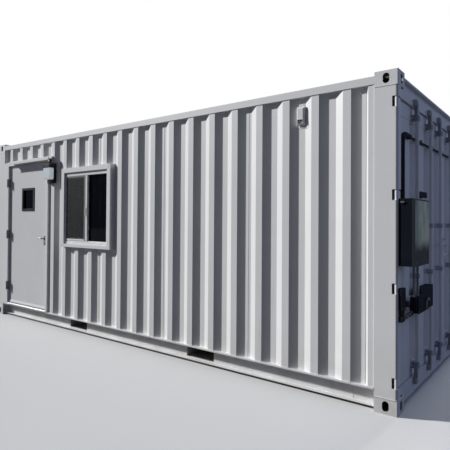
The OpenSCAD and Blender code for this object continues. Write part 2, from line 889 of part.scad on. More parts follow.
module blank_end_lining() {
    x0 = -end_x + header_d;
    color("whitesmoke") for (s = [-1, 1])
        block([x0, s < 0 ? -post_y : lining_joint / 2, rail_top],
              [x0 + lining_t, s < 0 ? -lining_joint / 2 : post_y, ceiling_z]);
}

// Full-width panels between the castings' rows, and a narrower strip past each row
module ceiling_lining() {
    y1 = inner_y - sheet_t;
    y2 = side_y - casting_w;
    step = 2 * post_x / lining_panels;
    color("whitesmoke") {
        for (i = [0 : lining_panels - 1])
            block([i * step - post_x + lining_joint / 2, -y1, ceiling_z],
                  [(i + 1) * step - post_x - lining_joint / 2, y1, rail_z0]);
        block([-end_x + header_d, -y2, ceiling_z], [-post_x - lining_joint / 2, y2, rail_z0]);
        block([post_x + lining_joint / 2, -y2, ceiling_z], [header_x - header_d, y2, rail_z0]);
    }
}

// Jamb outline in X and Y, hinge side, with its stop behind the leaf and a face of the given width
module jamb_outline(face_w, back_w) {
    stop_y = -leaf_y + leaf_t + leaf_gap - 1;
    polygon([
        [-face_w, -frame_y], [0, -frame_y], [0, stop_y], [stop_w, stop_y], [stop_w, -lining_y],
        [-back_w, -lining_y], [-back_w, door_plate_t - frame_y], [-face_w, door_plate_t - frame_y]
    ]);
}

module door_frame() {
    stop_y = -leaf_y + leaf_t + leaf_gap - 1;
    color(white) {
        translate([door_x0, 0, rail_top]) linear_extrude(door_open_top - rail_top)
            jamb_outline(door_plate_w, door_head_h);
        translate([door_x1, 0, rail_top]) mirror([1, 0, 0]) linear_extrude(door_open_top - rail_top)
            jamb_outline(door_frame_w, door_frame_w - eps);
        block([frame_x0, -frame_y, door_open_top], [frame_x1, door_plate_t - frame_y, door_top]);
        block([door_x0 - door_head_h, -frame_y, door_open_top], [frame_x1, -lining_y, door_top]);
        block([door_x0, stop_y, door_open_top - stop_w], [door_x1, -lining_y, door_open_top]);
    }
}

module door_threshold() {
    z1 = rail_top + threshold_h;
    stop_y = -leaf_y + leaf_t + leaf_gap - 1;
    color("silver") {
        along_x(door_x0, door_x1) polygon([
            [-frame_y - 4, rail_top], [-frame_y - 4, rail_top + 8], [-frame_y + 12, z1],
            [stop_y, z1], [stop_y, rail_top]
        ]);
        block([door_x0 + stop_w, stop_y - eps, rail_top], [door_x1 - stop_w, -lining_y, z1]);
    }
}

// Bent sheet over the door: a flange on the wall, a slope that clears the frame, a turned-down edge
module drip_cap() {
    y0 = -outer_y;
    y1 = -side_y - cap_out;
    yf = y0 - cap_t;
    fall = cap_rise / (yf - y1);
    z0 = door_top + cap_t + 1 - fall * (cap_out - door_proud);
    z1 = z0 + cap_rise;
    x0 = door_x + cap_shift - cap_l / 2;
    color(white) along_x(x0, x0 + cap_l) polygon([
        [y1, z0 - cap_edge], [y1, z0], [yf, z1], [yf, z1 + cap_stand], [y0, z1 + cap_stand],
        [y0, z1 - cap_t], [y1 + cap_t, z0 - cap_t], [y1 + cap_t, z0 - cap_edge]
    ]);
}

module door_leaf() {
    y0 = -leaf_y;
    color(white) difference() {
        union() {
            block([leaf_x0, y0, leaf_z0], [leaf_x1, y0 + leaf_t, leaf_z1]);
            along_x(leaf_x0 + 6, leaf_x1 - 6) polygon([
                [y0, leaf_z0 + drip_h], [y0 - drip_out, leaf_z0 + 10], [y0 - drip_out, leaf_z0 + 4],
                [y0, leaf_z0 + 4]
            ]);
        }
        block([lite_x - lite / 2, y0 - eps, lite_z - lite / 2],
              [lite_x + lite / 2, y0 + leaf_t + eps, lite_z + lite / 2]);
        translate([lever_x, y0 - eps, lever_z]) rotate([-90, 0, 0])
            cylinder(r = spindle_r + running, h = leaf_t + 2 * eps);
    }
}

// Two rings that clamp the glass between them through the cut-out
module vision_frame() {
    a = lite / 2;
    b = a + lite_cover;
    c = a - lite_cover;
    y0 = -leaf_y;
    g0 = y0 + (leaf_t - lite_glass_t) / 2;
    color(black) translate([lite_x, 0, lite_z]) {
        difference() {
            union() {
                block([-b, y0 - lite_frame_t, -b], [b, y0, b]);
                block([-a, y0, -a], [a, g0, a]);
            }
            block([-c, y0 - lite_frame_t - eps, -c], [c, g0 + eps, c]);
        }
        difference() {
            union() {
                block([-b, y0 + leaf_t, -b], [b, y0 + leaf_t + lite_frame_t, b]);
                block([-a, g0 + lite_glass_t, -a], [a, y0 + leaf_t, a]);
            }
            block([-c, g0 + lite_glass_t - eps, -c], [c, y0 + leaf_t + lite_frame_t + eps, c]);
        }
    }
}

module vision_glass() {
    a = lite / 2;
    g0 = -leaf_y + (leaf_t - lite_glass_t) / 2;
    color([0.2, 0.25, 0.25]) block([lite_x - a, g0, lite_z - a], [lite_x + a, g0 + lite_glass_t, lite_z + a]);
}

// Frame side of the three hinges: outer knuckles, the pin and a plate on the jamb
module door_hinge_jamb_plates() {
    color(steel) for (z = hinge_heights) translate([pin_x, -pin_y, z - hinge_h / 2]) {
        cylinder(r = hinge_pin_r, h = hinge_h);
        cylinder(r = knuckle_r, h = hinge_h / 3 - 0.5);
        translate([0, 0, hinge_h * 2 / 3 + 0.5]) cylinder(r = knuckle_r, h = hinge_h / 3 - 0.5);
        translate([-hinge_gap / 2, 0, 0]) cube([hinge_plate_t, pin_y - leaf_y + leaf_t - 6, hinge_h / 3 - 0.5]);
        translate([-hinge_gap / 2, 0, hinge_h * 2 / 3 + 0.5])
            cube([hinge_plate_t, pin_y - leaf_y + leaf_t - 6, hinge_h / 3 - 0.5]);
        translate([-hinge_gap / 2, knuckle_r + 2, 0])
            cube([hinge_plate_t, pin_y - leaf_y + leaf_t - 8 - knuckle_r, hinge_h]);
    }
}

// Leaf side of the three hinges: the middle knuckle and a plate on the leaf's edge
module door_hinge_leaf_plates() {
    color(steel) for (z = hinge_heights) translate([pin_x, -pin_y, z - hinge_h / 2]) {
        difference() {
            union() {
                translate([0, 0, hinge_h / 3]) cylinder(r = knuckle_r, h = hinge_h / 3);
                translate([hinge_gap / 2 - hinge_plate_t, 0, hinge_h / 3])
                    cube([hinge_plate_t, pin_y - leaf_y + leaf_t - 6, hinge_h / 3]);
                translate([hinge_gap / 2 - hinge_plate_t, knuckle_r + 2, 0])
                    cube([hinge_plate_t, pin_y - leaf_y + leaf_t - 8 - knuckle_r, hinge_h]);
            }
            cylinder(r = hinge_pin_r + running, h = hinge_h);
        }
    }
}

// Round plates behind the levers and the lock cylinder, on both faces
module door_lock_plates() {
    y0 = -leaf_y;
    color(steel) {
        for (y = [y0 - 8, y0 + leaf_t])
            translate([lever_x, y, lever_z]) rotate([-90, 0, 0]) difference() {
                cylinder(r = rose_r, h = 8);
                translate([0, 0, -eps]) cylinder(r = spindle_r + running, h = 8 + 2 * eps);
            }
        for (y = [y0 - 10, y0 + leaf_t])
            translate([lever_x, y, lever_z + lock_rise]) rotate([-90, 0, 0]) cylinder(r = lock_r, h = 10);
    }
}

// Spindle through the leaf, with a lever on each side pointing at the hinges
module door_lever() {
    y0 = -leaf_y;
    color(steel) {
        translate([lever_x, y0 - lever_out, lever_z]) rotate([-90, 0, 0])
            cylinder(r = spindle_r, h = leaf_t + 2 * lever_out);
        for (y = [y0 - lever_out, y0 + leaf_t + lever_out]) {
            translate([lever_x - lever_l, y, lever_z]) rotate([0, 90, 0]) cylinder(r = lever_r, h = lever_l);
            translate([lever_x - lever_l, y, lever_z]) sphere(r = lever_r);
            translate([lever_x, y, lever_z]) sphere(r = max(spindle_r, lever_r) + 1.5);
        }
    }
}

module window_surround() {
    color(white) difference() {
        block([win_x0, -surround_y, window_z], [win_x1, -lining_y, win_z1]);
        block([win_in_x0, -surround_y - eps, win_in_z0], [win_in_x1, -lining_y + eps, win_in_z1]);
    }
}

// Moulded frame with a sloped sill and a meeting stile in front of the sash
module window_frame() {
    y0 = -sash_y;
    y1 = y0 + sash_depth;
    color("white") {
        difference() {
            block([win_in_x0, y0, win_in_z0], [win_in_x1, y1, win_in_z1]);
            block([win_in_x0 + sash_frame, y0 - eps, win_in_z0 + sash_sill],
                  [win_in_x1 - sash_frame, y1 + eps, win_in_z1 - sash_head]);
            along_x(win_in_x0 + sash_frame, win_in_x1 - sash_frame) polygon([
                [y0 - eps, win_in_z0 + sash_sill * 0.7], [y0 - eps, win_in_z0 + sash_sill + eps],
                [y0 + 16, win_in_z0 + sash_sill + eps]
            ]);
        }
        block([window_x - stile_w / 2, y0 + 2, win_in_z0 + sash_sill - eps],
              [window_x + stile_w / 2, y0 + 3 + screen_t, win_in_z1 - sash_head + eps]);
    }
}

// Left sash slides behind the screen; its right stile meets the fixed pane
module window_sash() {
    x0 = win_in_x0 + sash_frame;
    x1 = window_x + stile_w / 2;
    z0 = win_in_z0 + sash_sill;
    z1 = win_in_z1 - sash_head;
    y0 = -sash_y + 3 + screen_t;
    color("white") difference() {
        block([x0, y0, z0], [x1, y0 + 18, z1]);
        block([x0 + stile_w * 0.7, y0 - eps, z0 + stile_w * 0.7],
              [x1 - stile_w, y0 + 18 + eps, z1 - stile_w * 0.7]);
    }
}

module window_glass() {
    z0 = win_in_z0 + sash_sill;
    z1 = win_in_z1 - sash_head;
    y0 = -sash_y;
    color([0.2, 0.26, 0.27]) {
        block([win_in_x0 + sash_frame + stile_w * 0.7, y0 + 16, z0 + stile_w * 0.7],
              [window_x - stile_w / 2, y0 + 16 + glass_t, z1 - stile_w * 0.7]);
        block([window_x - stile_w / 2 + 12, y0 + 34, z0], [win_in_x1 - sash_frame, y0 + 34 + glass_t, z1]);
    }
}

// Frame of the insect screen in front of the sliding sash
module screen_frame() {
    x0 = win_in_x0 + sash_frame;
    x1 = window_x - stile_w / 2;
    z0 = win_in_z0 + sash_sill;
    z1 = win_in_z1 - sash_head;
    y0 = 2 - sash_y;
    color("whitesmoke") difference() {
        block([x0, y0, z0], [x1, y0 + screen_t, z1]);
        block([x0 + screen_w, y0 - eps, z0 + screen_w],
              [x1 - screen_w, y0 + screen_t + eps, z1 - screen_w]);
    }
}

module window_screen() {
    y0 = screen_t / 2 + 1.5 - sash_y;
    color("dimgray")
        block([win_in_x0 + sash_frame + screen_w, y0, win_in_z0 + sash_sill + screen_w],
              [window_x - stile_w / 2 - screen_w, y0 + 1, win_in_z1 - sash_head - screen_w]);
}

// Hooded vent on an inner flat: a plate with two ears, a hood that clears the slopes beside it,
// and a louvred mouth below
module vent() {
    ear_h = vent_h * 0.13;
    z0 = vent_top - vent_h;
    out = vent_out;
    half = vent_hood_w / 2;
    foot = vent_ear_w / 2;
    slant = 20;
    mouth_z = z0 + ear_h + 5;
    difference() {
        union() {
            block([-foot, -3, z0], [foot, 0, vent_top]);
            intersection() {
                translate([0, 0, z0 + ear_h]) linear_extrude(vent_h - 2 * ear_h) polygon([
                    [-foot, 0], [-half, -slant], [-half, -out + 12], [-half + 12, -out],
                    [half - 12, -out], [half, -out + 12], [half, -slant], [foot, 0]
                ]);
                along_x(-vent_hood_w, vent_hood_w) polygon([
                    [0, z0 + ear_h], [-out + slant, z0 + ear_h], [-out, z0 + ear_h + slant],
                    [-out, vent_top - ear_h - slant], [-out + slant, vent_top - ear_h], [0, vent_top - ear_h]
                ]);
            }
        }
        block([-half + 10, -out - eps, mouth_z], [half - 10, -8, mouth_z + vent_mouth_h]);
    }
    for (k = [1 : 2])
        block([-half + 10, -out + 10, mouth_z + vent_mouth_h * k / 3 - 1.5],
              [half - 10, -8, mouth_z + vent_mouth_h * k / 3 + 1.5]);
}

module wall_vents() {
    color(white) for (turn = [0, 180])
        rotate([0, 0, turn]) translate([vent_x, -inner_y, 0]) vent();
}

// Back box on the wall and the hood over the lens, with the sensor on top
module light_housing() {
    y1 = -side_y - light_out;
    yb = -side_y - light_back;
    z1 = light_z + light_h;
    color(black) translate([light_x, 0, 0]) {
        block([-light_w / 2, yb, light_z - 12], [light_w / 2, -outer_y, z1]);
        along_x(-light_w / 2, light_w / 2) polygon([
            [yb + eps, z1], [y1 + 30, z1], [y1, z1 - 24], [y1, z1 - light_hood_h],
            [yb + eps, z1 - light_hood_h]
        ]);
        translate([sensor_shift, yb - 30, z1 - eps]) cylinder(r = sensor_r, h = 46 + eps);
        translate([sensor_shift, yb - 30, z1 + 46]) cylinder(r1 = sensor_r, r2 = sensor_r * 0.6, h = 10);
    }
}

module light_lens() {
    y1 = -side_y - light_out;
    yb = -side_y - light_back;
    z1 = light_z + light_h - light_hood_h;
    color([0.85, 0.87, 0.86]) translate([light_x, 0, 0]) along_x(-light_w / 2 + 6, light_w / 2 - 6) polygon([
        [yb, light_z], [y1 + 26, light_z], [y1 + 4, light_z + 22], [y1 + 4, z1], [yb, z1]
    ]);
}

// Plan outline of a leaf's pressed sheet, from the centre outwards, in X and Y
function leaf_points(y0, y1) = concat(
    [[cargo_leaf_x, y0]],
    [for (b = [bar_inner_y, bar_outer_y], p = [0 : 3])
        let(w = bar_recess_w / 2, s = 34)
        p == 0 ? [cargo_leaf_x, b - w] :
        p == 1 ? [cargo_leaf_x - corr_depth, b - w + s] :
        p == 2 ? [cargo_leaf_x - corr_depth, b + w - s] :
                 [cargo_leaf_x, b + w]],
    [[cargo_leaf_x, y1]]
);

// One cargo leaf on the +Y side: a frame of square tube round a pressed sheet
module cargo_leaf() {
    y0 = leaf_seal / 2;
    y1 = cargo_y1;
    x0 = cargo_leaf_x - cargo_leaf_t;
    pts = leaf_points(y0 + leaf_stile_w - eps, y1 - leaf_stile_w + eps);
    back = [for (i = [len(pts) - 1 : -1 : 0]) pts[i] - [sheet_t, 0]];
    difference() {
        block([x0, y0, cargo_z0], [cargo_leaf_x, y1, cargo_z1]);
        block([x0 - eps, y0 + leaf_stile_w, cargo_z0 + leaf_rail_w],
              [cargo_leaf_x + eps, y1 - leaf_stile_w, cargo_z1 - leaf_rail_w]);
    }
    translate([0, 0, cargo_z0 + leaf_rail_w - eps])
        linear_extrude(cargo_z1 - cargo_z0 - 2 * leaf_rail_w + 2 * eps)
            polygon(concat(pts, back));
}

module cargo_leaves() {
    color(white) both_sides() cargo_leaf();
}

// Rubber seals that fill the gaps round the leaves
module cargo_door_seals() {
    d = seal_d;
    x0 = cargo_leaf_x - cargo_leaf_t / 2 - d / 2;
    color(black) {
        block([x0, -leaf_seal / 2, cargo_z0], [x0 + d, leaf_seal / 2, cargo_z1]);
        for (s = [-1, 1]) {
            block([x0, s < 0 ? -post_y : cargo_y1, cargo_z0], [x0 + d, s < 0 ? -cargo_y1 : post_y, cargo_z1]);
        }
        block([x0, -post_y, cargo_z1], [x0 + d, post_y, header_z]);
        block([x0, -post_y, sill_top], [x0 + d, post_y, cargo_z0]);
    }
}

// Pins in the posts' cut-outs and blades across to the leaves
module cargo_hinges() {
    blade_h = notch_h - 16;
    px = end_x - 16;
    py = side_y - 18;
    color(white) both_sides() for (z = cargo_hinge_heights) {
        translate([px, -py, z - notch_h / 2]) cylinder(r = 13, h = notch_h);
        difference() {
            block([px - 4, -py, z - blade_h / 2], [px + 6, -post_y + 12, z + blade_h / 2]);
            translate([px, -py, z - notch_h]) cylinder(r = 12, h = notch_h * 2);
        }
        block([cargo_leaf_x, -post_y + 12, z - blade_h / 2], [px + 6, -post_y + 20, z + blade_h / 2]);
        block([cargo_leaf_x, -post_y + 20, z - blade_h / 2], [cargo_leaf_x + 8, -post_y + 60, z + blade_h / 2]);
    }
}

// Bars with a cam at each end and collars under the guides
module locking_bars() {
    z0 = sill_top - 50;
    z1 = header_z + 50;
    color(white) for (y = bar_ys) translate([bar_x, y, 0]) {
        translate([0, 0, z0]) cylinder(r = bar_r, h = z1 - z0);
        for (z = [z0, z1 - 34])
            block([-bar_r, -24, z], [0, 24, z + 34]);
    }
}

// Keepers on the header and sill, and guides on the leaves, round each bar
module bar_keepers() {
    color(white) for (y = bar_ys) translate([0, y, 0]) {
        for (z = [sill_top - 58, header_z + 8]) difference() {
            block([header_x, -40, z], [bar_x + 8, 40, z + 50]);
            block([header_x + 3, -27, z - eps], [bar_x + 9, 27, z + 50 + eps]);
        }
        for (z = [cargo_z0 + guide_end, hub_z - guide_mid - guide_h, hub_z + guide_mid,
                  cargo_z1 - guide_end - guide_h]) difference() {
            union() {
                block([cargo_leaf_x, -bar_r - 34, z], [cargo_leaf_x + 6, bar_r + 34, z + guide_h]);
                block([cargo_leaf_x + 6, -bar_r - 7, z], [bar_x, bar_r + 7, z + guide_h]);
                translate([bar_x, 0, z]) cylinder(r = bar_r + 7, h = guide_h);
            }
            translate([bar_x, 0, z - eps]) cylinder(r = bar_r + seat, h = guide_h + 2 * eps);
        }
    }
}

// Hub round each bar and a flat handle lying on the leaf
module bar_handles() {
    color(white) for (y = bar_ys) {
        inner = abs(y) == bar_inner_y;
        reach = sign(y) * handle_l * (inner ? 1 : -1);
        translate([bar_x, y, inner ? hub_z : hub_z - handle_step]) difference() {
            union() {
                cylinder(r = bar_r + 5, h = 44);
                block([-bar_r - 7, min(0, reach), 10], [-bar_r + 1, max(0, reach), 34]);
            }
            translate([0, 0, -eps]) cylinder(r = bar_r + seat, h = 44 + 2 * eps);
        }
    }
}

// Cabinet on the post's end face, held by two struts from the leaf, with a latch on its side
module electric_panel() {
    y0 = panel_y - panel_w / 2;
    y1 = panel_y + panel_w / 2;
    color(dark) {
        block([panel_x, y0, panel_z], [panel_x + panel_d - cover_t, y1, panel_z + panel_h]);
        for (z = [panel_z + 60, strut_z1 - strut_h])
            block([cargo_leaf_x, y1 - 14 - strut_l, z], [panel_x, y1 - 14, z + strut_h]);
        translate([panel_x + 30, y0, panel_z + panel_h - 28]) rotate([90, 90, 0])
            linear_extrude(5) stadium(40, 20);
    }
}

// Cover with a rain edge along its top
module panel_cover() {
    y0 = panel_y - panel_w / 2;
    y1 = panel_y + panel_w / 2;
    x0 = panel_x + panel_d - cover_t;
    z1 = panel_z + panel_h;
    color(dark) {
        block([x0, y0, panel_z], [panel_x + panel_d, y1, z1 - cover_edge]);
        along_y(y0, y1) polygon([
            [x0, z1], [x0, z1 - cover_edge], [panel_x + panel_d + 5, z1 - cover_edge],
            [panel_x + panel_d + 5, z1 - cover_edge * 2 / 3]
        ]);
    }
}

// Post box, meter box on its stand-off, switch box between the bars, junction box above them
module service_boxes() {
    color(dark) {
        block([end_x, -side_y + 16, post_box_z],
              [end_x + post_box_d, -side_y + 16 + post_box_w, post_box_z + post_box_h]);
        block([meter_x, meter_y - meter_w / 2, meter_z], [meter_x + meter_d, meter_y + meter_w / 2, meter_top]);
        for (z = [meter_z + 16, meter_top - 36])
            block([cargo_leaf_x, meter_y - meter_w / 2 + 14, z], [meter_x, meter_y + 30, z + 20]);
        translate([meter_x + meter_d, meter_y + meter_w / 2 - 45, meter_top - 41]) rotate([0, 90, 0])
            cylinder(r = 14, h = 10);
        block([cargo_leaf_x, -(bar_outer_y + bar_inner_y) / 2 - switch_w / 2, switch_z],
              [cargo_leaf_x + switch_d, -(bar_outer_y + bar_inner_y) / 2 + switch_w / 2, switch_z + switch_h]);
        block([cargo_leaf_x, junction_y - junction_w / 2, junction_z],
              [cargo_leaf_x + junction_d, junction_y + junction_w / 2, junction_z + junction_h]);
    }
}

// Two conduits from the panel's underside into the meter box
module conduits() {
    color(white) for (s = [-1, 1])
        translate([panel_x + conduit_out + (s + 1) / 2 * conduit_step,
                   panel_y + conduit_shift + s * conduit_gap / 2, meter_top])
            cylinder(r = conduit_r, h = panel_z - meter_top);
}

// The cable rises from the strut behind the panel, bends and runs level behind the bars to its gland
module service_cable() {
    z1 = cable_z - cable_bend;
    z0 = strut_z1;
    color(black) translate([cable_x, cable_y, 0]) {
        translate([0, 0, z0]) cylinder(r = cable_r, h = z1 - z0);
        translate([0, cable_bend, z1]) rotate([90, 0, 90]) rotate([0, 0, 90])
            rotate_extrude(angle = 90) translate([cable_bend, 0]) circle(r = cable_r);
        translate([0, cable_bend, cable_z]) rotate([-90, 0, 0])
            cylinder(r = cable_r, h = cable_end_y - cable_y - cable_bend);
    }
}

// Gland where the cable enters the right leaf, and the clips that hold it
module cable_fittings() {
    color(black) {
        block([cargo_leaf_x, cable_end_y, cable_z - gland_h / 2],
              [cable_x + cable_r + 7, cable_end_y + gland_l, cable_z + gland_h / 2]);
        for (k = [0 : 3]) let(y = cable_y + clip_start + k * clip_pitch) difference() {
            union() {
                block([cargo_leaf_x, y - 8, cable_z - cable_r - 3], [cable_x, y + 8, cable_z + cable_r + 20]);
                translate([cable_x, y - 8, cable_z]) rotate([-90, 0, 0]) cylinder(r = cable_r + 1, h = 16);
            }
            translate([cable_x, y - 9, cable_z]) rotate([-90, 0, 0]) cylinder(r = cable_r + seat, h = 18);
        }
    }
}

bottom_castings();
top_castings();
cargo_end_posts();
blank_end_posts();
bottom_side_rails();
bottom_rail_webs();
pocket_straps();
top_side_rails();
end_rails();
cross_members();
fork_pockets();
floor_deck();
roof_sheet();
front_wall();
front_wall_at_openings();
back_wall();
blank_end_wall();
front_lining();
back_lining();
blank_end_lining();
ceiling_lining();
door_frame();
door_threshold();
drip_cap();
door_leaf();
vision_frame();
vision_glass();
door_hinge_jamb_plates();
door_hinge_leaf_plates();
door_lock_plates();
door_lever();
window_surround();
window_frame();
window_sash();
window_glass();
screen_frame();
window_screen();
wall_vents();
light_housing();
light_lens();
cargo_leaves();
cargo_door_seals();
cargo_hinges();
locking_bars();
bar_keepers();
bar_handles();
electric_panel();
panel_cover();
service_boxes();
conduits();
service_cable();
cable_fittings();
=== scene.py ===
# %% [markdown]
# # A shipping container cabin
#
# This lesson dresses a solid model of a 20 ft steel container that was turned into a room. The solid
# model already has every main form, so the script adds what a solid model leaves out: paint and glass,
# weld seams, screws, sealant, gaskets, the ribs of the cable's sleeve and rounded edges. Lengths are in
# metres, X runs along the container, the side with the personnel door faces -Y and Z is up.
#
# The first cell loads the solid model. Nothing that is added later may reach far outside that box.

# %% Load the solid model
import math

import bpy
import numpy as np
from mathutils import Matrix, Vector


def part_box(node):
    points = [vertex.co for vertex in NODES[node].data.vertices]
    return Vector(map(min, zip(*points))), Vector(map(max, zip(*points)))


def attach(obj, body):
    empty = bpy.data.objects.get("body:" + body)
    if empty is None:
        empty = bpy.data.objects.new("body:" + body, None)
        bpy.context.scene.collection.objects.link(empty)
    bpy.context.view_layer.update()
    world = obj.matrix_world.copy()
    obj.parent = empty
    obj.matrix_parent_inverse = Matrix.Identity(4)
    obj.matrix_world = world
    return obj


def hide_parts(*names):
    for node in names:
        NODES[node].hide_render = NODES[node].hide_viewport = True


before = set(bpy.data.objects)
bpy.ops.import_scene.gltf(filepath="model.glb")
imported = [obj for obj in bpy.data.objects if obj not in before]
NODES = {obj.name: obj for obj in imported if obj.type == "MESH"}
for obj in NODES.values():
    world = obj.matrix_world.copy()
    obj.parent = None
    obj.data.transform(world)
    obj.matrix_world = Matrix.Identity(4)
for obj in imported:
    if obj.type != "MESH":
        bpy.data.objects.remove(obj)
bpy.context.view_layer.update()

# %% [markdown]
# ## The camera
#
# The camera stands where the photograph was taken. Three angles turn it: the yaw about the upright
# axis, the pitch above the horizon and a small roll. With $f$ the forward direction and $r$ the
# direction to the right, the upward direction is their cross product $r \times f$. The small shifts
# stand for a picture that was cropped off its optical axis.

# %% Camera
EYE = np.array([4.0703, -4.6701, 1.4403])
YAW, PITCH, ROLL = -0.6559, 0.0129, 0.0067
FOCAL_PIXELS, IMAGE_PIXELS, SENSOR = 454.865, 450, 36.0
SHIFT_X, SHIFT_Y = -0.0005, -0.0216
FARTHEST = 400


def camera_axes(yaw, pitch, roll):
    """Right, up and forward: forward = (sin y cos p, cos y cos p, sin p), the others turned by the roll."""
    forward = np.array([math.sin(yaw) * math.cos(pitch), math.cos(yaw) * math.cos(pitch), math.sin(pitch)])
    right = np.array([math.cos(yaw), -math.sin(yaw), 0.0])
    up = np.cross(right, forward)
    return (math.cos(roll) * right + math.sin(roll) * up,
            math.cos(roll) * up - math.sin(roll) * right, forward)


right, up, forward = camera_axes(YAW, PITCH, ROLL)
camera = bpy.data.objects.new("camera", bpy.data.cameras.new("camera"))
bpy.context.scene.collection.objects.link(camera)
turn = Matrix([list(row) for row in np.column_stack([right, up, -forward])]).to_4x4()
camera.matrix_world = Matrix.Translation(EYE) @ turn
camera.data.sensor_width = SENSOR
camera.data.lens = FOCAL_PIXELS / IMAGE_PIXELS * SENSOR
camera.data.shift_x, camera.data.shift_y = SHIFT_X, SHIFT_Y
camera.data.clip_end = FARTHEST
bpy.context.scene.camera = camera
print("lens", round(camera.data.lens, 2), "mm")

# %% [markdown]
# ## Materials as arithmetic
#
# A material is a small program that runs at each point of a surface. The class below wraps one output
# of a node. Adding, multiplying or comparing such values adds the matching Math node, so a pattern can be
# written as a formula. Everything else, such as noise, comes from `add`, which takes the kind of node,
# its inputs and its settings.

# %% Shader values
class Value:
    """One output of a node tree. Arithmetic on it builds Math nodes."""

    tree = None

    def __init__(self, socket):
        self.socket = socket

    @classmethod
    def add(cls, kind, inputs, output=0, **settings):
        """Makes one node, sets it up, and links or fills its inputs."""
        node = cls.tree.nodes.new("ShaderNode" + kind)
        for name, value in settings.items():
            setattr(node, name, value)
        for key, value in inputs.items():
            if isinstance(value, cls):
                cls.tree.links.new(value.socket, node.inputs[key])
            else:
                node.inputs[key].default_value = value
        return cls(node.outputs[output])

    def math(self, operation, *others):
        """This value and the others through one Math node."""
        return self.add("Math", dict(enumerate((self, *others))), operation=operation)

    def after(self, operation, first):
        """The same with this value in the second place, as in 1 - value."""
        return self.add("Math", {0: first, 1: self}, operation=operation)

    def __add__(self, other): return self.math("ADD", other)
    def __radd__(self, other): return self.math("ADD", other)
    def __sub__(self, other): return self.math("SUBTRACT", other)
    def __rsub__(self, other): return self.after("SUBTRACT", other)
    def __mul__(self, other): return self.math("MULTIPLY", other)
    def __rmul__(self, other): return self.math("MULTIPLY", other)
    def __truediv__(self, other): return self.math("DIVIDE", other)
    def __abs__(self): return self.math("ABSOLUTE")
    def __gt__(self, other): return self.math("GREATER_THAN", other)
    def __lt__(self, other): return self.math("LESS_THAN", other)
    def fract(self): return self.math("FRACT")
    def sine(self): return self.math("SINE")
    def most(self, other): return self.math("MAXIMUM", other)

    def rise(self, low, high):
        """Smooth step: 0 below low, 1 above high."""
        return self.add("MapRange", {"Value": self, "From Min": low, "From Max": high},
                        interpolation_type="SMOOTHSTEP")

    def fall(self, low, high):
        """Smooth step down: 1 below low, 0 above high."""
        return 1.0 - self.rise(low, high)


def place():
    """The point being shaded, in metres."""
    return Value.add("TexCoord", {}, output="Object")


def parts(vector):
    """X, Y and Z of a vector."""
    split = Value.add("SeparateXYZ", {"Vector": vector})
    return [Value(s) for s in split.socket.node.outputs]


def stretched(vector, scale):
    """The vector with each part multiplied."""
    return Value.add("VectorMath", {0: vector, 1: scale}, operation="MULTIPLY")


def noise(vector, scale, detail=3.0, rough=0.55):
    """Cloudy noise between 0 and 1; scale is its waves in a metre, detail the number of finer layers."""
    return Value.add("TexNoise", {"Vector": vector, "Scale": scale, "Detail": detail, "Roughness": rough})


def mix(factor, a, b):
    """Colour a where factor is 0 and colour b where it is 1."""
    return Value.add("Mix", {0: factor, 6: a, 7: b}, output=2, data_type="RGBA")


def rgb(r, g, b):
    """A colour with full cover."""
    return (r, g, b, 1.0)


def begin(name):
    """Starts an empty material that the next values go into."""
    material = bpy.data.materials.new(name)
    material.use_nodes = True
    material.node_tree.nodes.clear()
    Value.tree = material.node_tree
    return material


def finish(material, height=None, depth=0.0005, alpha=None, **look):
    """Ends a material with one Principled shader. height is a bump pattern that stands depth metres high."""
    if height is not None:
        look["Normal"] = Value.add("Bump", {"Height": height, "Strength": 1.0, "Distance": depth},
                                   output="Normal")
    if alpha is not None:
        look["Alpha"] = alpha
    shader = Value.add("BsdfPrincipled", {key.replace("_", " "): value for key, value in look.items()})
    out = Value.tree.nodes.new("ShaderNodeOutputMaterial")
    Value.tree.links.new(shader.socket, out.inputs["Surface"])
    return material


print("shader values:", len([name for name in vars(Value) if name.startswith("__r")]), "reflected operators")

# %% [markdown]
# ## Paint
#
# Painted steel is never one flat colour. The recipe mixes four patterns: a faint mottling of the whole
# coat, dust that rises from the ground and fades with height, thin streaks that rain has drawn downwards
# (noise stretched along Z), and small dark scuffs. Some pieces also get spots of rust. The hollows of the
# corner castings get painted shade. So do the panel and the boxes at the cargo end, whose paint is made
# near-black for the shade on them. The bars behind the meter box stay white.
# Fine noise in the bump gives the skin of the spray coat. The paint is a formula of the place on the
# container and not a picture, so a weld that crosses a sheet carries the same streak as the sheet.

# %% Paint recipe
DUST = rgb(0.47, 0.41, 0.33)
GRIME = rgb(0.23, 0.22, 0.21)
RUST = rgb(0.33, 0.13, 0.05)
# Painted shade: the near-black that the inside of a casting's hollow gets, where shade falls.
HOLLOW_SHADE, HOLLOW_SHADE_COVER = rgb(0.03, 0.03, 0.032), 0.93
DUST_TOP = 0.62


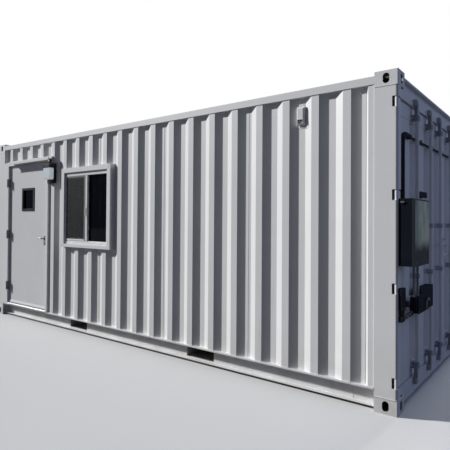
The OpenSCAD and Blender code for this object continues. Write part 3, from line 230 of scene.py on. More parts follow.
def paint(name, color, dust=0.25, streak=0.16, scuff=0.15, rust=0.0, rough=0.42, grain=0.00025, pits=0.0,
          gloss=0.45, hollow=None, second=None, where=None):
    """A coat of paint: the colour, then each pattern times its strength laid over what is there.

    hollow gives |x| and |y| from and to, where painted shade darkens the coat. where is a test of the place,
    and second is the colour that the test lays over the first one.
    """
    material = begin(name)
    p = place()
    x, y, z = parts(p)
    if second:
        color = mix(where(x, y, z), color, second)
    mottle = noise(p, 1.7, 4.0)
    low = z.fall(0.02, DUST_TOP) * noise(p, 5.0, 4.0).rise(0.30, 0.72)
    runs = noise(stretched(p, (26.0, 26.0, 0.9)), 1.0, 2.0).rise(0.60, 0.80) * noise(p, 0.8).rise(0.42, 0.62)
    marks = noise(stretched(p, (1.0, 1.0, 3.0)), 21.0, 5.0, 0.7).rise(0.66, 0.76)
    coat = mix(mottle.rise(0.35, 0.65) * 0.05, color, GRIME)
    coat = mix(low * dust, coat, DUST)
    coat = mix(runs * streak, coat, GRIME)
    coat = mix(marks * scuff, coat, GRIME)
    if rust:
        spots = noise(p, 34.0, 5.0, 0.65).rise(0.64, 0.70) * noise(p, 4.0).rise(0.50, 0.66)
        coat = mix(spots * rust, coat, RUST)
    # Painted shade inside the hollow of a casting.
    if hollow:
        x0, y0, x1, y1 = hollow
        within = (abs(x) > x0) * (abs(y) > y0) * (abs(x) < x1) * (abs(y) < y1)
        coat = mix(within * HOLLOW_SHADE_COVER, coat, HOLLOW_SHADE)
    skin = noise(p, 900.0, 1.0) * 0.35 + noise(p, 60.0, 2.0)
    if pits:
        skin = skin + noise(p, 220.0, 3.0).rise(0.40, 0.75) * pits
    shine = rough + low * 0.2 + (mottle - 0.5) * 0.12
    return finish(material, skin, grain, Base_Color=coat, Roughness=shine, Specular_IOR_Level=gloss)


WHITE = rgb(0.825, 0.828, 0.828)
CASTING_HOLLOW = (2.853, 1.063, 3.022, 1.212)
BARS_FACE, BARS_FROM, BARS_TO = 3.030, -1.0, -0.62
container_white = paint("container_white", WHITE)
casting_white = paint("casting_white", rgb(0.79, 0.795, 0.795), dust=0.45, scuff=0.4, rust=0.35, rough=0.5,
                      grain=0.0006, pits=1.0, hollow=CASTING_HOLLOW)
gear_white = paint("gear_white", rgb(0.84, 0.845, 0.85), scuff=0.25, rust=0.2)
frame_white = paint("frame_white", rgb(0.86, 0.865, 0.865), streak=0.08, rough=0.38)
door_white = paint("door_white", rgb(0.78, 0.79, 0.795), dust=0.2, streak=0.07, scuff=0.12, rough=0.36)
weld_white = paint("weld_white", rgb(0.77, 0.775, 0.775), streak=0.1, scuff=0.25, rust=0.12, rough=0.5)
under_grey = paint("under_grey", rgb(0.30, 0.30, 0.30), dust=0.7, scuff=0.5, rust=0.3, rough=0.7)
# Painted shade: the panel and the boxes get near-black paint, darker than their own, for the shade that lies
# on them.
panel_shade_grey = paint("panel_shade_grey", rgb(0.007, 0.010, 0.017), dust=0.1, streak=0.2, scuff=0.3, rough=0.6,
                   gloss=0.05)
box_shade_grey = paint("box_shade_grey", rgb(0.012, 0.014, 0.024), dust=0.3, streak=0.3, scuff=0.4, rough=0.6, gloss=0.05,
                 second=WHITE,
                 where=lambda x, y, z: (x < BARS_FACE) * (y < BARS_TO) * (y > BARS_FROM))
# Painted shade: the keepers are grey for the shade in and beside them.
keeper_shade_grey = paint("keeper_shade_grey", rgb(0.50, 0.51, 0.54), scuff=0.5, rust=0.3, rough=0.55, gloss=0.2)
print(len(bpy.data.materials), "materials")

# %% [markdown]
# The panel's cover is dark, and this dark is painted shade. A pale greenish painted reflection of the
# surroundings lies on the upper part of its face. Masks say where it is: on the face but not on its upper
# lip, above a ragged edge, and weaker towards the left. Comparing the place with these limits keeps the
# reflection on the face without any cut in the mesh.

# %% Panel cover
cover_low, cover_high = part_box("panel_cover")
FACE_DEPTH, UPPER_LIP = 0.0055, 0.013
REFLECTION_FROM, REFLECTION_FULL, RAGGED = 0.10, 0.20, 0.10


def reflection_painted(name, color, overlay):
    """Painted shade below, and a cloudy painted reflection above z + RAGGED (cloud - 1/2) = REFLECTION_FROM
    to REFLECTION_FULL.
    """
    material = begin(name)
    p = place()
    x, y, z = parts(p)
    cloud = noise(stretched(p, (1.0, 1.6, 0.7)), 9.0, 4.0)
    edge = z + (cloud - 0.5) * RAGGED
    face = (x > cover_high[0] - FACE_DEPTH) * (z < cover_high[2] - UPPER_LIP)
    side = y.rise(cover_low[1] + 0.02, cover_low[1] + 0.12) * 0.45 + 0.55
    mask = face * edge.rise(cover_low[2] + REFLECTION_FROM, cover_low[2] + REFLECTION_FULL) * side
    tone = mix(cloud.rise(0.35, 0.65), overlay, rgb(overlay[0] * 0.62, overlay[1] * 0.72, overlay[2] * 0.85))
    tone = mix(mask, color, tone)
    return finish(material, noise(p, 60.0, 2.0), 0.0002, Base_Color=tone, Roughness=0.45 + cloud * 0.1,
                  Specular_IOR_Level=0.2)


# Painted shade in the near-black colour, and a painted reflection in the pale greenish one.
cover_shade_and_reflection = reflection_painted("cover_shade_and_reflection", rgb(0.018, 0.023, 0.030), rgb(0.70, 0.73, 0.50))
print("film above", round(cover_low[2] + (REFLECTION_FROM + REFLECTION_FULL) / 2, 3))

# %% [markdown]
# ## Wood, metal, plastic and glass
#
# The other recipes follow the same way of working. Brushed metal stretches its noise along the direction
# of the brush. Plywood has a grain that is long in X, and a thin dark line where one sheet ends and the
# next begins. Moulded plastic is nearly even, with a fine leathery bump. The insect screen is a weave: two
# sets of wires, each a comparison of a fast sine, with holes between them. The room is dark in daylight, so
# the panes are made as nearly black, closed surfaces that mirror only a little.

# %% Other recipes
def metal(name, color, rough=0.32, brush=(1.0, 1.0, 30.0)):
    """Bare metal: noise squeezed by brush makes the lines, and wider noise makes darker stains."""
    material = begin(name)
    p = place()
    lines = noise(stretched(p, brush), 60.0, 3.0, 0.6)
    spots = noise(p, 18.0, 4.0).rise(0.55, 0.75)
    tone = mix(spots * 0.2, color, rgb(color[0] * 0.45, color[1] * 0.43, color[2] * 0.40))
    return finish(material, lines, 0.0001, Base_Color=tone, Metallic=1.0,
                  Roughness=rough + (lines - 0.5) * 0.2)


def plastic(name, color, rough=0.4, soil=0.15, **more):
    """Moulded plastic or rubber: an even colour, a cloudy film of soil and a fine leathery bump."""
    material = begin(name)
    p = place()
    overlay = noise(p, 7.0, 4.0).rise(0.45, 0.75)
    soiled = rgb(color[0] * 0.6 + 0.06, color[1] * 0.57 + 0.055, color[2] * 0.52 + 0.05)
    tone = mix(overlay * soil, color, soiled)
    return finish(material, noise(p, 700.0, 2.0), 0.00012, Base_Color=tone, Roughness=rough + overlay * 0.12,
                  **more)


SHEET, JOINT = 1.22, 0.0015


def plywood(name, color):
    """Grain long in X, and a dark line where x / SHEET is within JOINT of a whole number."""
    material = begin(name)
    p = place()
    x, y, z = parts(p)
    grain = noise(stretched(p, (2.0, 40.0, 40.0)), 3.0, 5.0, 0.65)
    joint = abs((x / SHEET).fract() - 0.5) > 0.5 - JOINT
    tone = mix(grain.rise(0.3, 0.7), color, rgb(color[0] * 0.5, color[1] * 0.45, color[2] * 0.4))
    tone = mix(joint, tone, rgb(0.05, 0.035, 0.02))
    return finish(material, grain, 0.0004, Base_Color=tone, Roughness=0.55 + grain * 0.2)


def glazing(name, color):
    """A closed, nearly black surface with faint upright smears; it mirrors a little."""
    material = begin(name)
    p = place()
    smear = noise(stretched(p, (1.0, 1.0, 0.25)), 9.0, 4.0).rise(0.5, 0.8)
    tone = mix(smear * 0.03, color, rgb(0.30, 0.31, 0.31))
    return finish(material, noise(p, 2.2, 1.0), 0.0004, Base_Color=tone, Roughness=0.04 + smear * 0.10,
                  Specular_IOR_Level=0.06)


WIRE_PITCH, PRISM_PITCH = 0.0016, 0.006


def weave(name, color):
    """Insect screen: wires where sin(2 pi x / pitch) or sin(2 pi z / pitch) is high, holes between them."""
    material = begin(name)
    p = place()
    x, y, z = parts(p)
    turns = 2 * math.pi / WIRE_PITCH
    wires = ((x * turns).sine() > 0.55).most((z * turns).sine() > 0.55)
    tone = mix(noise(p, 6.0), color, rgb(0.045, 0.053, 0.055))
    return finish(material, alpha=wires, Base_Color=tone, Roughness=0.65, Specular_IOR_Level=0.15)


def prism(name, color):
    """Moulded lens: a saw-tooth of x and y, and a weak painted glow for the daylight on it, though no lamp
    burns in it.
    """
    material = begin(name)
    p = place()
    x, y, z = parts(p)
    ribs = abs((x / PRISM_PITCH).fract() - 0.5) + abs((y / PRISM_PITCH).fract() - 0.5) * 0.6
    tone = mix(ribs.rise(0.1, 0.6), color, rgb(0.42, 0.46, 0.49))
    # Painted light: the emission is a glow, though the light is not on.
    return finish(material, ribs, 0.002, Base_Color=tone, Roughness=0.22, Coat_Weight=0.4,
                  Emission_Color=rgb(0.70, 0.78, 0.84), Emission_Strength=0.32)


LOOKS = {
    "container_white": container_white, "casting_white": casting_white, "gear_white": gear_white,
    "weld_white": weld_white, "frame_white": frame_white, "door_white": door_white, "under_grey": under_grey,
    "keeper_shade_grey": keeper_shade_grey, "panel_shade_grey": panel_shade_grey, "cover_shade_and_reflection": cover_shade_and_reflection, "box_shade_grey": box_shade_grey,
    "plywood": plywood("plywood", rgb(0.42, 0.26, 0.13)),
    "lining": plastic("lining", rgb(0.70, 0.70, 0.67), 0.5),
    "vinyl": plastic("vinyl", rgb(0.84, 0.845, 0.84), 0.32, soil=0.08),
    "black": plastic("black", rgb(0.012, 0.012, 0.014), 0.45, soil=0.2, Specular_IOR_Level=0.2),
    "jacket": plastic("jacket", rgb(0.012, 0.012, 0.014), 0.55, soil=0.3, Specular_IOR_Level=0.2),
    "rubber": plastic("rubber", rgb(0.025, 0.025, 0.026), 0.65, soil=0.4),
    # Painted shade: the guards beside the bars are dark grey for the strip of shade there.
    "cam_shade_grey": plastic("cam_shade_grey", rgb(0.30, 0.31, 0.35), 0.6, soil=0.4),
    "seal_grey": plastic("seal_grey", rgb(0.48, 0.49, 0.52), 0.6, soil=0.3),
    "sealant": plastic("sealant", rgb(0.78, 0.78, 0.76), 0.55, soil=0.3),
    "zinc": metal("zinc", rgb(0.30, 0.30, 0.31), 0.45),
    "satin": metal("satin", rgb(0.25, 0.25, 0.26), 0.40, brush=(30.0, 1.0, 1.0)),
    "aluminium": metal("aluminium", rgb(0.72, 0.72, 0.73), 0.35, brush=(0.5, 30.0, 30.0)),
    "conduit": metal("conduit", rgb(0.16, 0.165, 0.175), 0.55, brush=(20.0, 20.0, 1.0)),
    "glass": glazing("glass", rgb(0.001, 0.003, 0.0045)),
    "screen": weave("screen", rgb(0.012, 0.016, 0.017)),
    "lens": prism("lens", rgb(0.70, 0.73, 0.74)),
    # The dark grey of the brush, and painted shade on the screen's top rail and sides.
    "brush_and_screen_shade": plastic("brush_and_screen_shade", rgb(0.13, 0.135, 0.14), 0.5, soil=0.2),
}
print(len(LOOKS), "looks")

# %% [markdown]
# ## Dress the solids
#
# Each node of the solid model gets one of these looks. A Bevel modifier rounds the edges of nodes where
# the real edges are folded, cast or moulded, which catches small highlights. It takes only edges that fold
# by more than FOLD degrees, so that round forms stay as they are. The numbers are the widths in metres.

# %% Looks of the solids
NODE_LOOKS = {
    "container_white": "cargo_end_posts blank_end_posts bottom_side_rails bottom_rail_webs pocket_straps "
                       "top_side_rails end_rails roof_sheet front_wall front_wall_at_openings back_wall "
                       "blank_end_wall cargo_leaves wall_vents",
    "casting_white": "bottom_castings top_castings",
    "gear_white": "cargo_hinges locking_bars bar_handles",
    "keeper_shade_grey": "bar_keepers",
    "frame_white": "door_frame window_surround drip_cap",
    "door_white": "door_leaf",
    "under_grey": "cross_members fork_pockets",
    "plywood": "floor_deck",
    "lining": "front_lining back_lining blank_end_lining ceiling_lining",
    "aluminium": "door_threshold",
    "black": "vision_frame light_housing cable_fittings",
    "glass": "vision_glass window_glass",
    "zinc": "door_hinge_jamb_plates door_hinge_leaf_plates",
    "satin": "door_lock_plates door_lever",
    "vinyl": "window_frame window_sash screen_frame",
    "screen": "window_screen",
    "lens": "light_lens",
    "seal_grey": "cargo_door_seals",
    "panel_shade_grey": "electric_panel",
    "cover_shade_and_reflection": "panel_cover",
    "box_shade_grey": "service_boxes",
    "conduit": "conduits",
    "jacket": "service_cable",
}
ROUNDED = {
    "bottom_castings": 0.005, "top_castings": 0.005, "door_frame": 0.002, "window_surround": 0.005,
    "window_frame": 0.003, "window_sash": 0.002, "screen_frame": 0.002, "vision_frame": 0.003,
    "electric_panel": 0.004, "panel_cover": 0.004, "service_boxes": 0.003, "light_housing": 0.004,
    "light_lens": 0.005, "bar_handles": 0.003, "bar_keepers": 0.002, "cargo_hinges": 0.002,
    "wall_vents": 0.003, "door_leaf": 0.0015,
}
FOLD = 40
for look, names in NODE_LOOKS.items():
    for name in names.split():
        solid = NODES[name]
        solid.data.materials.clear()
        solid.data.materials.append(LOOKS[look])
        if name in ROUNDED:
            bevel = solid.modifiers.new("rounded", "BEVEL")
            bevel.width = ROUNDED[name]
            bevel.segments = 2
            bevel.limit_method = "ANGLE"
            bevel.angle_limit = math.radians(FOLD)
print("dressed", sum(len(names.split()) for names in NODE_LOOKS.values()), "of", len(NODES))

# %% [markdown]
# ## Surfaces from formulas
#
# Every added piece is a grid of points that a formula fills: an outline is carried along a path, or a
# profile is spun round an axis. Row $i$ and column $j$ of the grid are joined by quads, and both ends are
# closed, so each form is a closed skin whose normals point outwards. Forms like these could also be drawn
# by hand, but a formula keeps each of them on the solid that it belongs to. For a path that turns in one
# plane, with $n$ the plane's normal and $t$ the direction of travel, the side direction is
# $s = n \times t$ and a point of the outline $(u, v)$ lands at $p + u s + v n$. At a corner the sides
# $s_1$ and $s_2$ of the two legs give the mitre $(s_1 + s_2) / (1 + s_1 \cdot s_2)$.

# %% Forms: sweeps and spins
def grid_faces(rows, columns, closed=False):
    """Quads of a grid whose columns go round; closed also joins the last row to the first."""
    i, j = np.meshgrid(np.arange(rows if closed else rows - 1), np.arange(columns), indexing="ij")
    k, m = (j + 1) % columns, (i + 1) % rows
    faces = np.stack([i * columns + j, i * columns + k, m * columns + k, m * columns + j], -1)
    faces = faces.reshape(-1, 4).tolist()
    if not closed:
        faces.append(list(range(columns))[::-1])
        faces.append([(rows - 1) * columns + j for j in range(columns)])
    return faces


def unit(v):
    """Each row divided by its length."""
    return v / np.linalg.norm(v, axis=-1, keepdims=True)


def sweep(path, outline, normal, closed=False, swell=None):
    """P(i, j) = path_i + w_i (u_j side_i + v_j normal), with mitred sides and an optional swelling w."""
    path, outline, normal = np.array(path, float), np.array(outline, float), unit(np.array(normal, float))
    legs = unit(np.diff(np.vstack([path, path[:1]]) if closed else path, axis=0))
    sides = unit(np.cross(normal, legs))
    before = np.roll(sides, 1, 0) if closed else np.vstack([sides[:1], sides])
    after = sides if closed else np.vstack([sides, sides[-1:]])
    side = (before + after) / (1.0 + np.sum(before * after, axis=1, keepdims=True))
    w = np.ones(len(path)) if swell is None else np.array(swell, float)
    points = (path[:, None] + w[:, None, None] * (outline[None, :, :1] * side[:, None]
                                                  + outline[None, :, 1:] * normal[None, None]))
    return points.reshape(-1, 3), grid_faces(len(path), len(outline), closed)


def spin(profile, at, axis, sides=24):
    """P(i, j) = at + h_i axis + r_i (cos a_j e1 + sin a_j e2), with the profile given as (r, h) rows."""
    axis = unit(np.array(axis, float))
    e1 = unit(np.cross(axis, [0.31, 0.17, 0.93] if abs(axis[2]) < 0.9 else [1.0, 0.0, 0.0]))
    e2 = np.cross(axis, e1)
    a = np.linspace(0.0, 2.0 * math.pi, sides, endpoint=False)
    ring = np.cos(a)[:, None] * e1 + np.sin(a)[:, None] * e2
    r, h = np.array(profile, float).T
    points = np.array(at, float) + r[:, None, None] * ring + (h[:, None] * axis)[:, None]
    return points.reshape(-1, 3), grid_faces(len(profile), sides)


print("a four-sided tube with two rings has", len(grid_faces(2, 4)), "faces")

# %% [markdown]
# ## Outlines and copies
#
# A few outlines serve nearly everything: a circle for beads, pipes and sealant, and a rectangle with cut
# corners for pressed and moulded parts. Screws and bolts are made once and copied to their places, because
# a copied form is only an array that is added to another.

# %% Outlines and copies
def circle(r, count=12, squash=1.0):
    """Points (r cos a, squash r sin a), anticlockwise."""
    a = np.linspace(0.0, 2.0 * math.pi, count, endpoint=False)
    return np.column_stack([r * np.cos(a), r * squash * np.sin(a)])


def rectangle(width, height, corner=0.0, u=0.0):
    """A rectangle round (u, 0), anticlockwise, with its corners cut at 45 degrees."""
    a, b, c = width / 2, height / 2, corner
    if not c:
        return np.array([(-a, -b), (a, -b), (a, b), (-a, b)]) + (u, 0.0)
    return np.array([(c - a, -b), (a - c, -b), (a, c - b), (a, b - c),
                     (a - c, b), (c - a, b), (-a, b - c), (-a, c - b)]) + (u, 0.0)


def copies(form, places):
    """The same form at several places: P(k, i) = place_k + point_i."""
    points, faces = form
    places = np.array(places, float).reshape(-1, 3)
    moved = (points[None] + places[:, None]).reshape(-1, 3)
    return moved, [[k + i * len(points) for k in face] for i in range(len(places)) for face in faces]


def together(*forms):
    """Several forms as one: their points in one list, and their faces counted on."""
    points, faces, count = [], [], 0
    for p, f in forms:
        points.append(p)
        faces += [[k + count for k in face] for face in f]
        count += len(p)
    return np.vstack(points), faces


def across(form):
    """The form turned half a turn about Z, (-x, -y, z), which puts it on the other long side."""
    return form[0] * (-1.0, -1.0, 1.0), form[1]


print("an outline of a circle has", len(circle(1.0)), "points")

# %% [markdown]
# ## Beads, blocks, rings and fasteners
#
# With sweeps and spins in hand, the things that a welder and a fitter use are short recipes. A weld bead
# swells and shrinks from step to step, as the real one does where the welder pauses.

# %% Beads, blocks, rings and fasteners
def walk(corners, step):
    """Points a + (b - a) k / n along a chain of corners, at most one step apart, with the corners kept."""
    corners = np.array(corners, float)
    out = [corners[:1]]
    for a, b in zip(corners[:-1], corners[1:]):
        n = max(1, int(math.ceil(np.linalg.norm(b - a) / step)))
        out.append(a + (b - a) * (np.arange(1, n + 1) / n)[:, None])
    return np.vstack(out)


def bead(corners, normal, r, step):
    """A weld: a small round bead whose radius is r (0.88 + 0.12 cos pi i) at step i."""
    path = walk(corners, step)
    return sweep(path, circle(r, 6), normal, swell=0.88 + 0.12 * np.cos(np.arange(len(path)) * math.pi))


UP, DOWN, FRONT, BACK, RIGHT, LEFT = (0, 0, 1), (0, 0, -1), (0, -1, 0), (0, 1, 0), (1, 0, 0), (-1, 0, 0)
HERE = (0, 0, 0)


def slab(low, high, corner=0.0):
    """A block: a rectangle with cut corners, carried along X from low to high."""
    low, high = np.array(low, float), np.array(high, float)
    y, z = (low[1:] + high[1:]) / 2
    return sweep([(low[0], y, z), (high[0], y, z)], rectangle(*(high - low)[1:], corner), UP)


def ring(low, high, plane, outline, facing=FRONT):
    """An outline carried round an upright rectangle: u points inwards, v the way the ring faces."""
    (a0, z0), (a1, z1) = low, high
    if facing in (BACK, LEFT):
        a0, a1 = a1, a0
    rows = [(a0, z0), (a1, z0), (a1, z1), (a0, z1)]
    if facing in (FRONT, BACK):
        return sweep([(a, plane, z) for a, z in rows], outline, facing, closed=True)
    return sweep([(plane, a, z) for a, z in rows], outline, facing, closed=True)


def bolt(axis, r, h):
    """A hexagon head of radius r, spun with six sides, on a washer of radius 1.45 r."""
    washer = 1.45 * r
    return together(spin([(washer, 0), (washer, h * 0.22), (r, h * 0.25)], HERE, axis, 16),
                    spin([(r, h * 0.2), (r, h * 0.88), (r * 0.84, h)], HERE, axis, 6))


def screw(axis, r, h):
    """A domed head with a sunk middle: a profile of five radii and heights, spun with twelve sides."""
    return spin([(r, 0), (r, h * 0.4), (r * 0.8, h * 0.85), (r * 0.4, h), (r * 0.3, h * 0.6)], HERE, axis, 12)


print("a bolt has", len(bolt(UP, 1.0, 1.0)[1]), "faces and a screw", len(screw(UP, 1.0, 1.0)[1]))

# %% [markdown]
# ## From a form to a piece
#
# A piece is one mesh with one look. It rides on the body that carries it, so that it moves with the door
# or with the lever, and its mesh gets the material of that look. Edges that fold by more
# than `sharp` degrees stay crisp, and all others are shaded smooth.


def make(name, look, *forms, body="cabin", sharp=35.0, round_edges=0.0):
    """Builds one piece from its forms, dresses it and lets it ride on a body."""
    points, faces = together(*forms)
    mesh = bpy.data.meshes.new(name)
    mesh.from_pydata(points.tolist(), [], faces)
    mesh.shade_smooth()
    mesh.set_sharp_from_angle(angle=math.radians(sharp))
    mesh.materials.append(LOOKS[look])
    made = bpy.data.objects.new(name, mesh)
    bpy.context.scene.collection.objects.link(made)
    if round_edges:
        bevel = made.modifiers.new("rounded", "BEVEL")
        bevel.width, bevel.segments, bevel.limit_method = round_edges, 2, "ANGLE"
    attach(made, body)
    print(name, len(faces), "faces")
    return made


# %% [markdown]
# ## The line of the wall
#
# Welds and sealant have to follow the folds of the wall. Seen from above, the door side's sheet is a
# chain of straight pieces: an outer flat, a slope, an inner flat and a slope, again and again. Kept as
# rows of x and y, this chain gives the wall's face at any place by linear interpolation.

# %% Wall line and main planes
END, SIDE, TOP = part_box("top_castings")[1]
POST_X, POST_Y = 2.851, 1.146
OUTER, INNER = 1.213, 1.177
WALL_LOW, WALL_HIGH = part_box("front_wall")[0][2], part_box("front_wall")[1][2]
PITCH, FLAT, SLOPE = 0.278, 0.068, 0.074
BAYS, FIRST_BAY = 20, 0.189
EDGE_FLAT, EDGE_FOLD, EDGE_INNER, LAST_SLOPE = 0.049, 0.073, 0.115, 0.024


def wall_line():
    """Plan of the wall: rows (x, y) of a strip, a short slope, then BAYS repeats of flat and slope."""
    rows = [(POST_X, OUTER), (POST_X - EDGE_FLAT, OUTER), (POST_X - EDGE_FOLD, INNER),
            (POST_X - EDGE_INNER, INNER)]
    for k in range(BAYS):
        x = POST_X - FIRST_BAY - k * PITCH
        rows += [(x, OUTER), (x - FLAT, OUTER), (x - FLAT - SLOPE, INNER), (x - PITCH + SLOPE, INNER)]
    rows[-1] = (LAST_SLOPE - POST_X, INNER)
    rows.append((-POST_X, OUTER))
    return np.array(rows[::-1]) * (1.0, -1.0)


WALL = wall_line()
INNER_FLATS = [POST_X - FIRST_BAY - k * PITCH - (PITCH + FLAT) / 2 for k in range(BAYS - 1)]


def wall_y(x):
    """The wall's outer face at x: y between the two folds beside it, in proportion."""
    return np.interp(x, WALL[:, 0], WALL[:, 1])


def along_wall(x0, x1, z, out=0.0):
    """The path (x, wall_y(x) - out, z) with a point at both ends and at every fold between them."""
    folds = WALL[(WALL[:, 0] > x0) & (WALL[:, 0] < x1), 0]
    x = np.concatenate([[x0], folds, [x1]])
    return np.column_stack([x, wall_y(x) - out, np.full(len(x), z)])


print(len(WALL), "corners in the wall line")

# %% [markdown]
# ## Weld seams
#
# The box is welded together from sheets, so beads run along every joint: where the sheet meets the rails
# and posts, up the inner flats where one sheet ends and the next begins, and round the castings. They are
# real geometry and not bump, because a seam at the edge of a fold shows in the outline.

# %% Weld seams
LONG_WELD = {"r": 0.0035, "step": 0.014}
SHEET_WELD = {"r": 0.0022, "step": 0.012}
POST_WELD = {"r": 0.004, "step": 0.014}
PROUD = 0.001
JOINTS, LAST_JOINT = (3, 7, 11, 15), 0.082
OPENINGS = [(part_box("door_frame"), "door"), (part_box("window_surround"), "window")]


def sheet_joint(x, z0, z1):
    """An upright weld on an inner flat of the wall."""
    y = wall_y(x) - 0.0003
    return bead([(x, y, z0), (x, y, z1)], FRONT, **SHEET_WELD)


door_right = OPENINGS[0][0][1][0]
long_side = [bead(along_wall(-POST_X, POST_X, WALL_HIGH - PROUD, PROUD), UP, **LONG_WELD),
             bead(along_wall(door_right, POST_X, WALL_LOW + PROUD, PROUD), UP, **LONG_WELD)]
sheet_ends = [INNER_FLATS[k] + 0.002 for k in JOINTS] + [POST_X - LAST_JOINT]
for x in sheet_ends:
    heights = [(WALL_LOW, WALL_HIGH)]
    for (low, high), name in OPENINGS:
        if low[0] < x < high[0]:
            heights = [(WALL_LOW, low[2])] * (name == "window") + [(high[2], WALL_HIGH)]
    long_side += [sheet_joint(x, z0, z1) for z0, z1 in heights]
for x in (-POST_X, POST_X):
    long_side.append(bead([(x, -OUTER - PROUD, WALL_LOW), (x, -OUTER - PROUD, WALL_HIGH)],
                          FRONT, **POST_WELD))
make("side_welds_front", "weld_white", *long_side)

back = [bead(along_wall(-POST_X, POST_X, z, PROUD), UP, **LONG_WELD)
        for z in (WALL_LOW + PROUD, WALL_HIGH - PROUD)]
back += [sheet_joint(x, WALL_LOW, WALL_HIGH) for x in sheet_ends]
make("side_welds_back", "weld_white", *[across(form) for form in back])

# %% [markdown]
# The weld of a casting goes round the corner of the box. Its path is a short straight piece on the side, a
# quarter circle and a straight piece on the end, so one path fits all eight corners once it is mirrored.

# %% Casting welds
CASTING_LENGTH, CASTING_HEIGHT, CORNER_R = 0.178, 0.118, 0.019


def round_corner(sx, sy, z, r):
    """Along the side, the quarter circle (END - r + r sin a, -(SIDE - r + r cos a)), and along the end."""
    a = np.linspace(0.0, math.pi / 2, 7)
    arc = np.column_stack([END - r + r * np.sin(a), -(SIDE - r + r * np.cos(a))])
    rows = np.vstack([[(END - CASTING_LENGTH, -SIDE)], arc, [(END, -POST_Y)]]) * (sx, -sy)
    return np.column_stack([rows, np.full(len(rows), z)])


corners = []
for sx in (-1, 1):
    for sy in (-1, 1):
        for z in (CASTING_HEIGHT, TOP - CASTING_HEIGHT):
            corners.append(bead(round_corner(sx, sy, z, CORNER_R), UP if sx * sy < 0 else DOWN, 0.004, 0.012))
make("casting_welds", "weld_white", *corners)

# %% [markdown]
# Along the bottom the sheet sits on the flange of the rail. The rail is made of lengths that are butt
# welded, and its ends are welded to the corners. The roof has a seam along both edges, and one across it
# wherever two of its sheets meet.

# %% Rail and roof seams
RAIL_Y, RAIL_LOW, RAIL_HIGH = -1.133, 0.027, 0.174
FLANGE_LOW, FLANGE_HIGH = 0.164, 0.179
RAIL_JOINTS = (2.655, 0.38, -1.92)
rails = []
for x in (-POST_X + 0.003, POST_X - 0.003):
    rails.append(bead([(x, RAIL_Y, RAIL_LOW), (x, RAIL_Y, RAIL_HIGH)], FRONT, **POST_WELD))
    rails.append(bead([(x, -SIDE, FLANGE_LOW), (x, -SIDE, FLANGE_HIGH), (x, -OUTER, FLANGE_HIGH)],
                      RIGHT, 0.003, 0.008))
for x in RAIL_JOINTS:
    web_y = RAIL_Y - 0.0015
    rails.append(bead([(x, web_y, RAIL_LOW), (x, web_y, RAIL_HIGH - PROUD)], FRONT, 0.0025, 0.012))
    rails.append(bead([(x, -SIDE, FLANGE_LOW), (x, -SIDE, FLANGE_HIGH - PROUD)], FRONT, 0.002, 0.006))
make("rail_welds", "weld_white", *rails, *[across(form) for form in rails])

ROOF_EDGE, ROOF_ACROSS = 1.2145, 1.21
ROOF_JOINTS = (-1.9855, -0.9405, 0.1045, 1.1495, 2.1945)
roof_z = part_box("top_side_rails")[1][2]
roof = [bead([(-POST_X, y, roof_z + 0.001), (POST_X, y, roof_z + 0.001)], UP, 0.003, 0.02)
        for y in (-ROOF_EDGE, ROOF_EDGE)]
roof += [bead([(x, -ROOF_ACROSS, roof_z + 0.002), (x, ROOF_ACROSS, roof_z + 0.002)], UP, 0.0025, 0.02)
         for x in ROOF_JOINTS]
make("roof_seams", "weld_white", *roof)

# %% [markdown]
# ## Sealant and gaskets
#
# Where the door frame and the window are let into the corrugated sheet, a bead of sealant closes the
# joint. It follows the folds of the wall along the top, and under the window too, and runs straight up
# the sides. A thin ring of it goes round each vent.

# %% Sealant
SEALANT = {"r": 0.004, "step": 0.02}
seal_lines = []
for (low, high), name in OPENINGS:
    x0, x1, z0, z1 = low[0] - 0.002, high[0] + 0.002, low[2], high[2]
    x0 = max(x0, 0.002 - POST_X)
    seal_lines.append(bead(along_wall(x0, x1, z1 + 0.002, PROUD), UP, **SEALANT))
    for x in (x0, x1):
        if x > 0.01 - POST_X:
            y = wall_y(x) - PROUD
            seal_lines.append(bead([(x, y, z0), (x, y, z1)], FRONT, **SEALANT))
    if name == "window":
        seal_lines.append(bead(along_wall(x0, x1, z0 - 0.002, PROUD), UP, **SEALANT))
VENT_HALF = 0.037
vent_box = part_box("wall_vents")
vent_x = vent_box[1][0] - VENT_HALF
vent_z0, vent_z1 = vent_box[0][2], vent_box[1][2]
vent_seal = ring((vent_x - 0.028, vent_z0 - 0.001), (vent_x + 0.028, vent_z1 + 0.001), -INNER,
                 circle(0.0018, 6))
make("opening_sealant", "sealant", *seal_lines, vent_seal, across(vent_seal))

# %% [markdown]
# Round the door leaf a pale strip stands in the rebate, and dark rubber holds the small pane in its frame.
# The inner half of that frame is screwed on, at its corners and in the middle of each side.

# %% Door strip, gaskets of the small pane and the screws of its frame
leaf_low, leaf_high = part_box("door_leaf")
leaf_face = leaf_low[1] + 0.010
leaf_back = leaf_high[1]
strip = rectangle(0.006, 0.0035, 0.001)
make("door_strip", "sealant",
     ring((leaf_low[0] + 0.004, leaf_low[2] + 0.002), (leaf_high[0] - 0.002, leaf_high[2] - 0.002),
          leaf_back + 0.0032, strip))

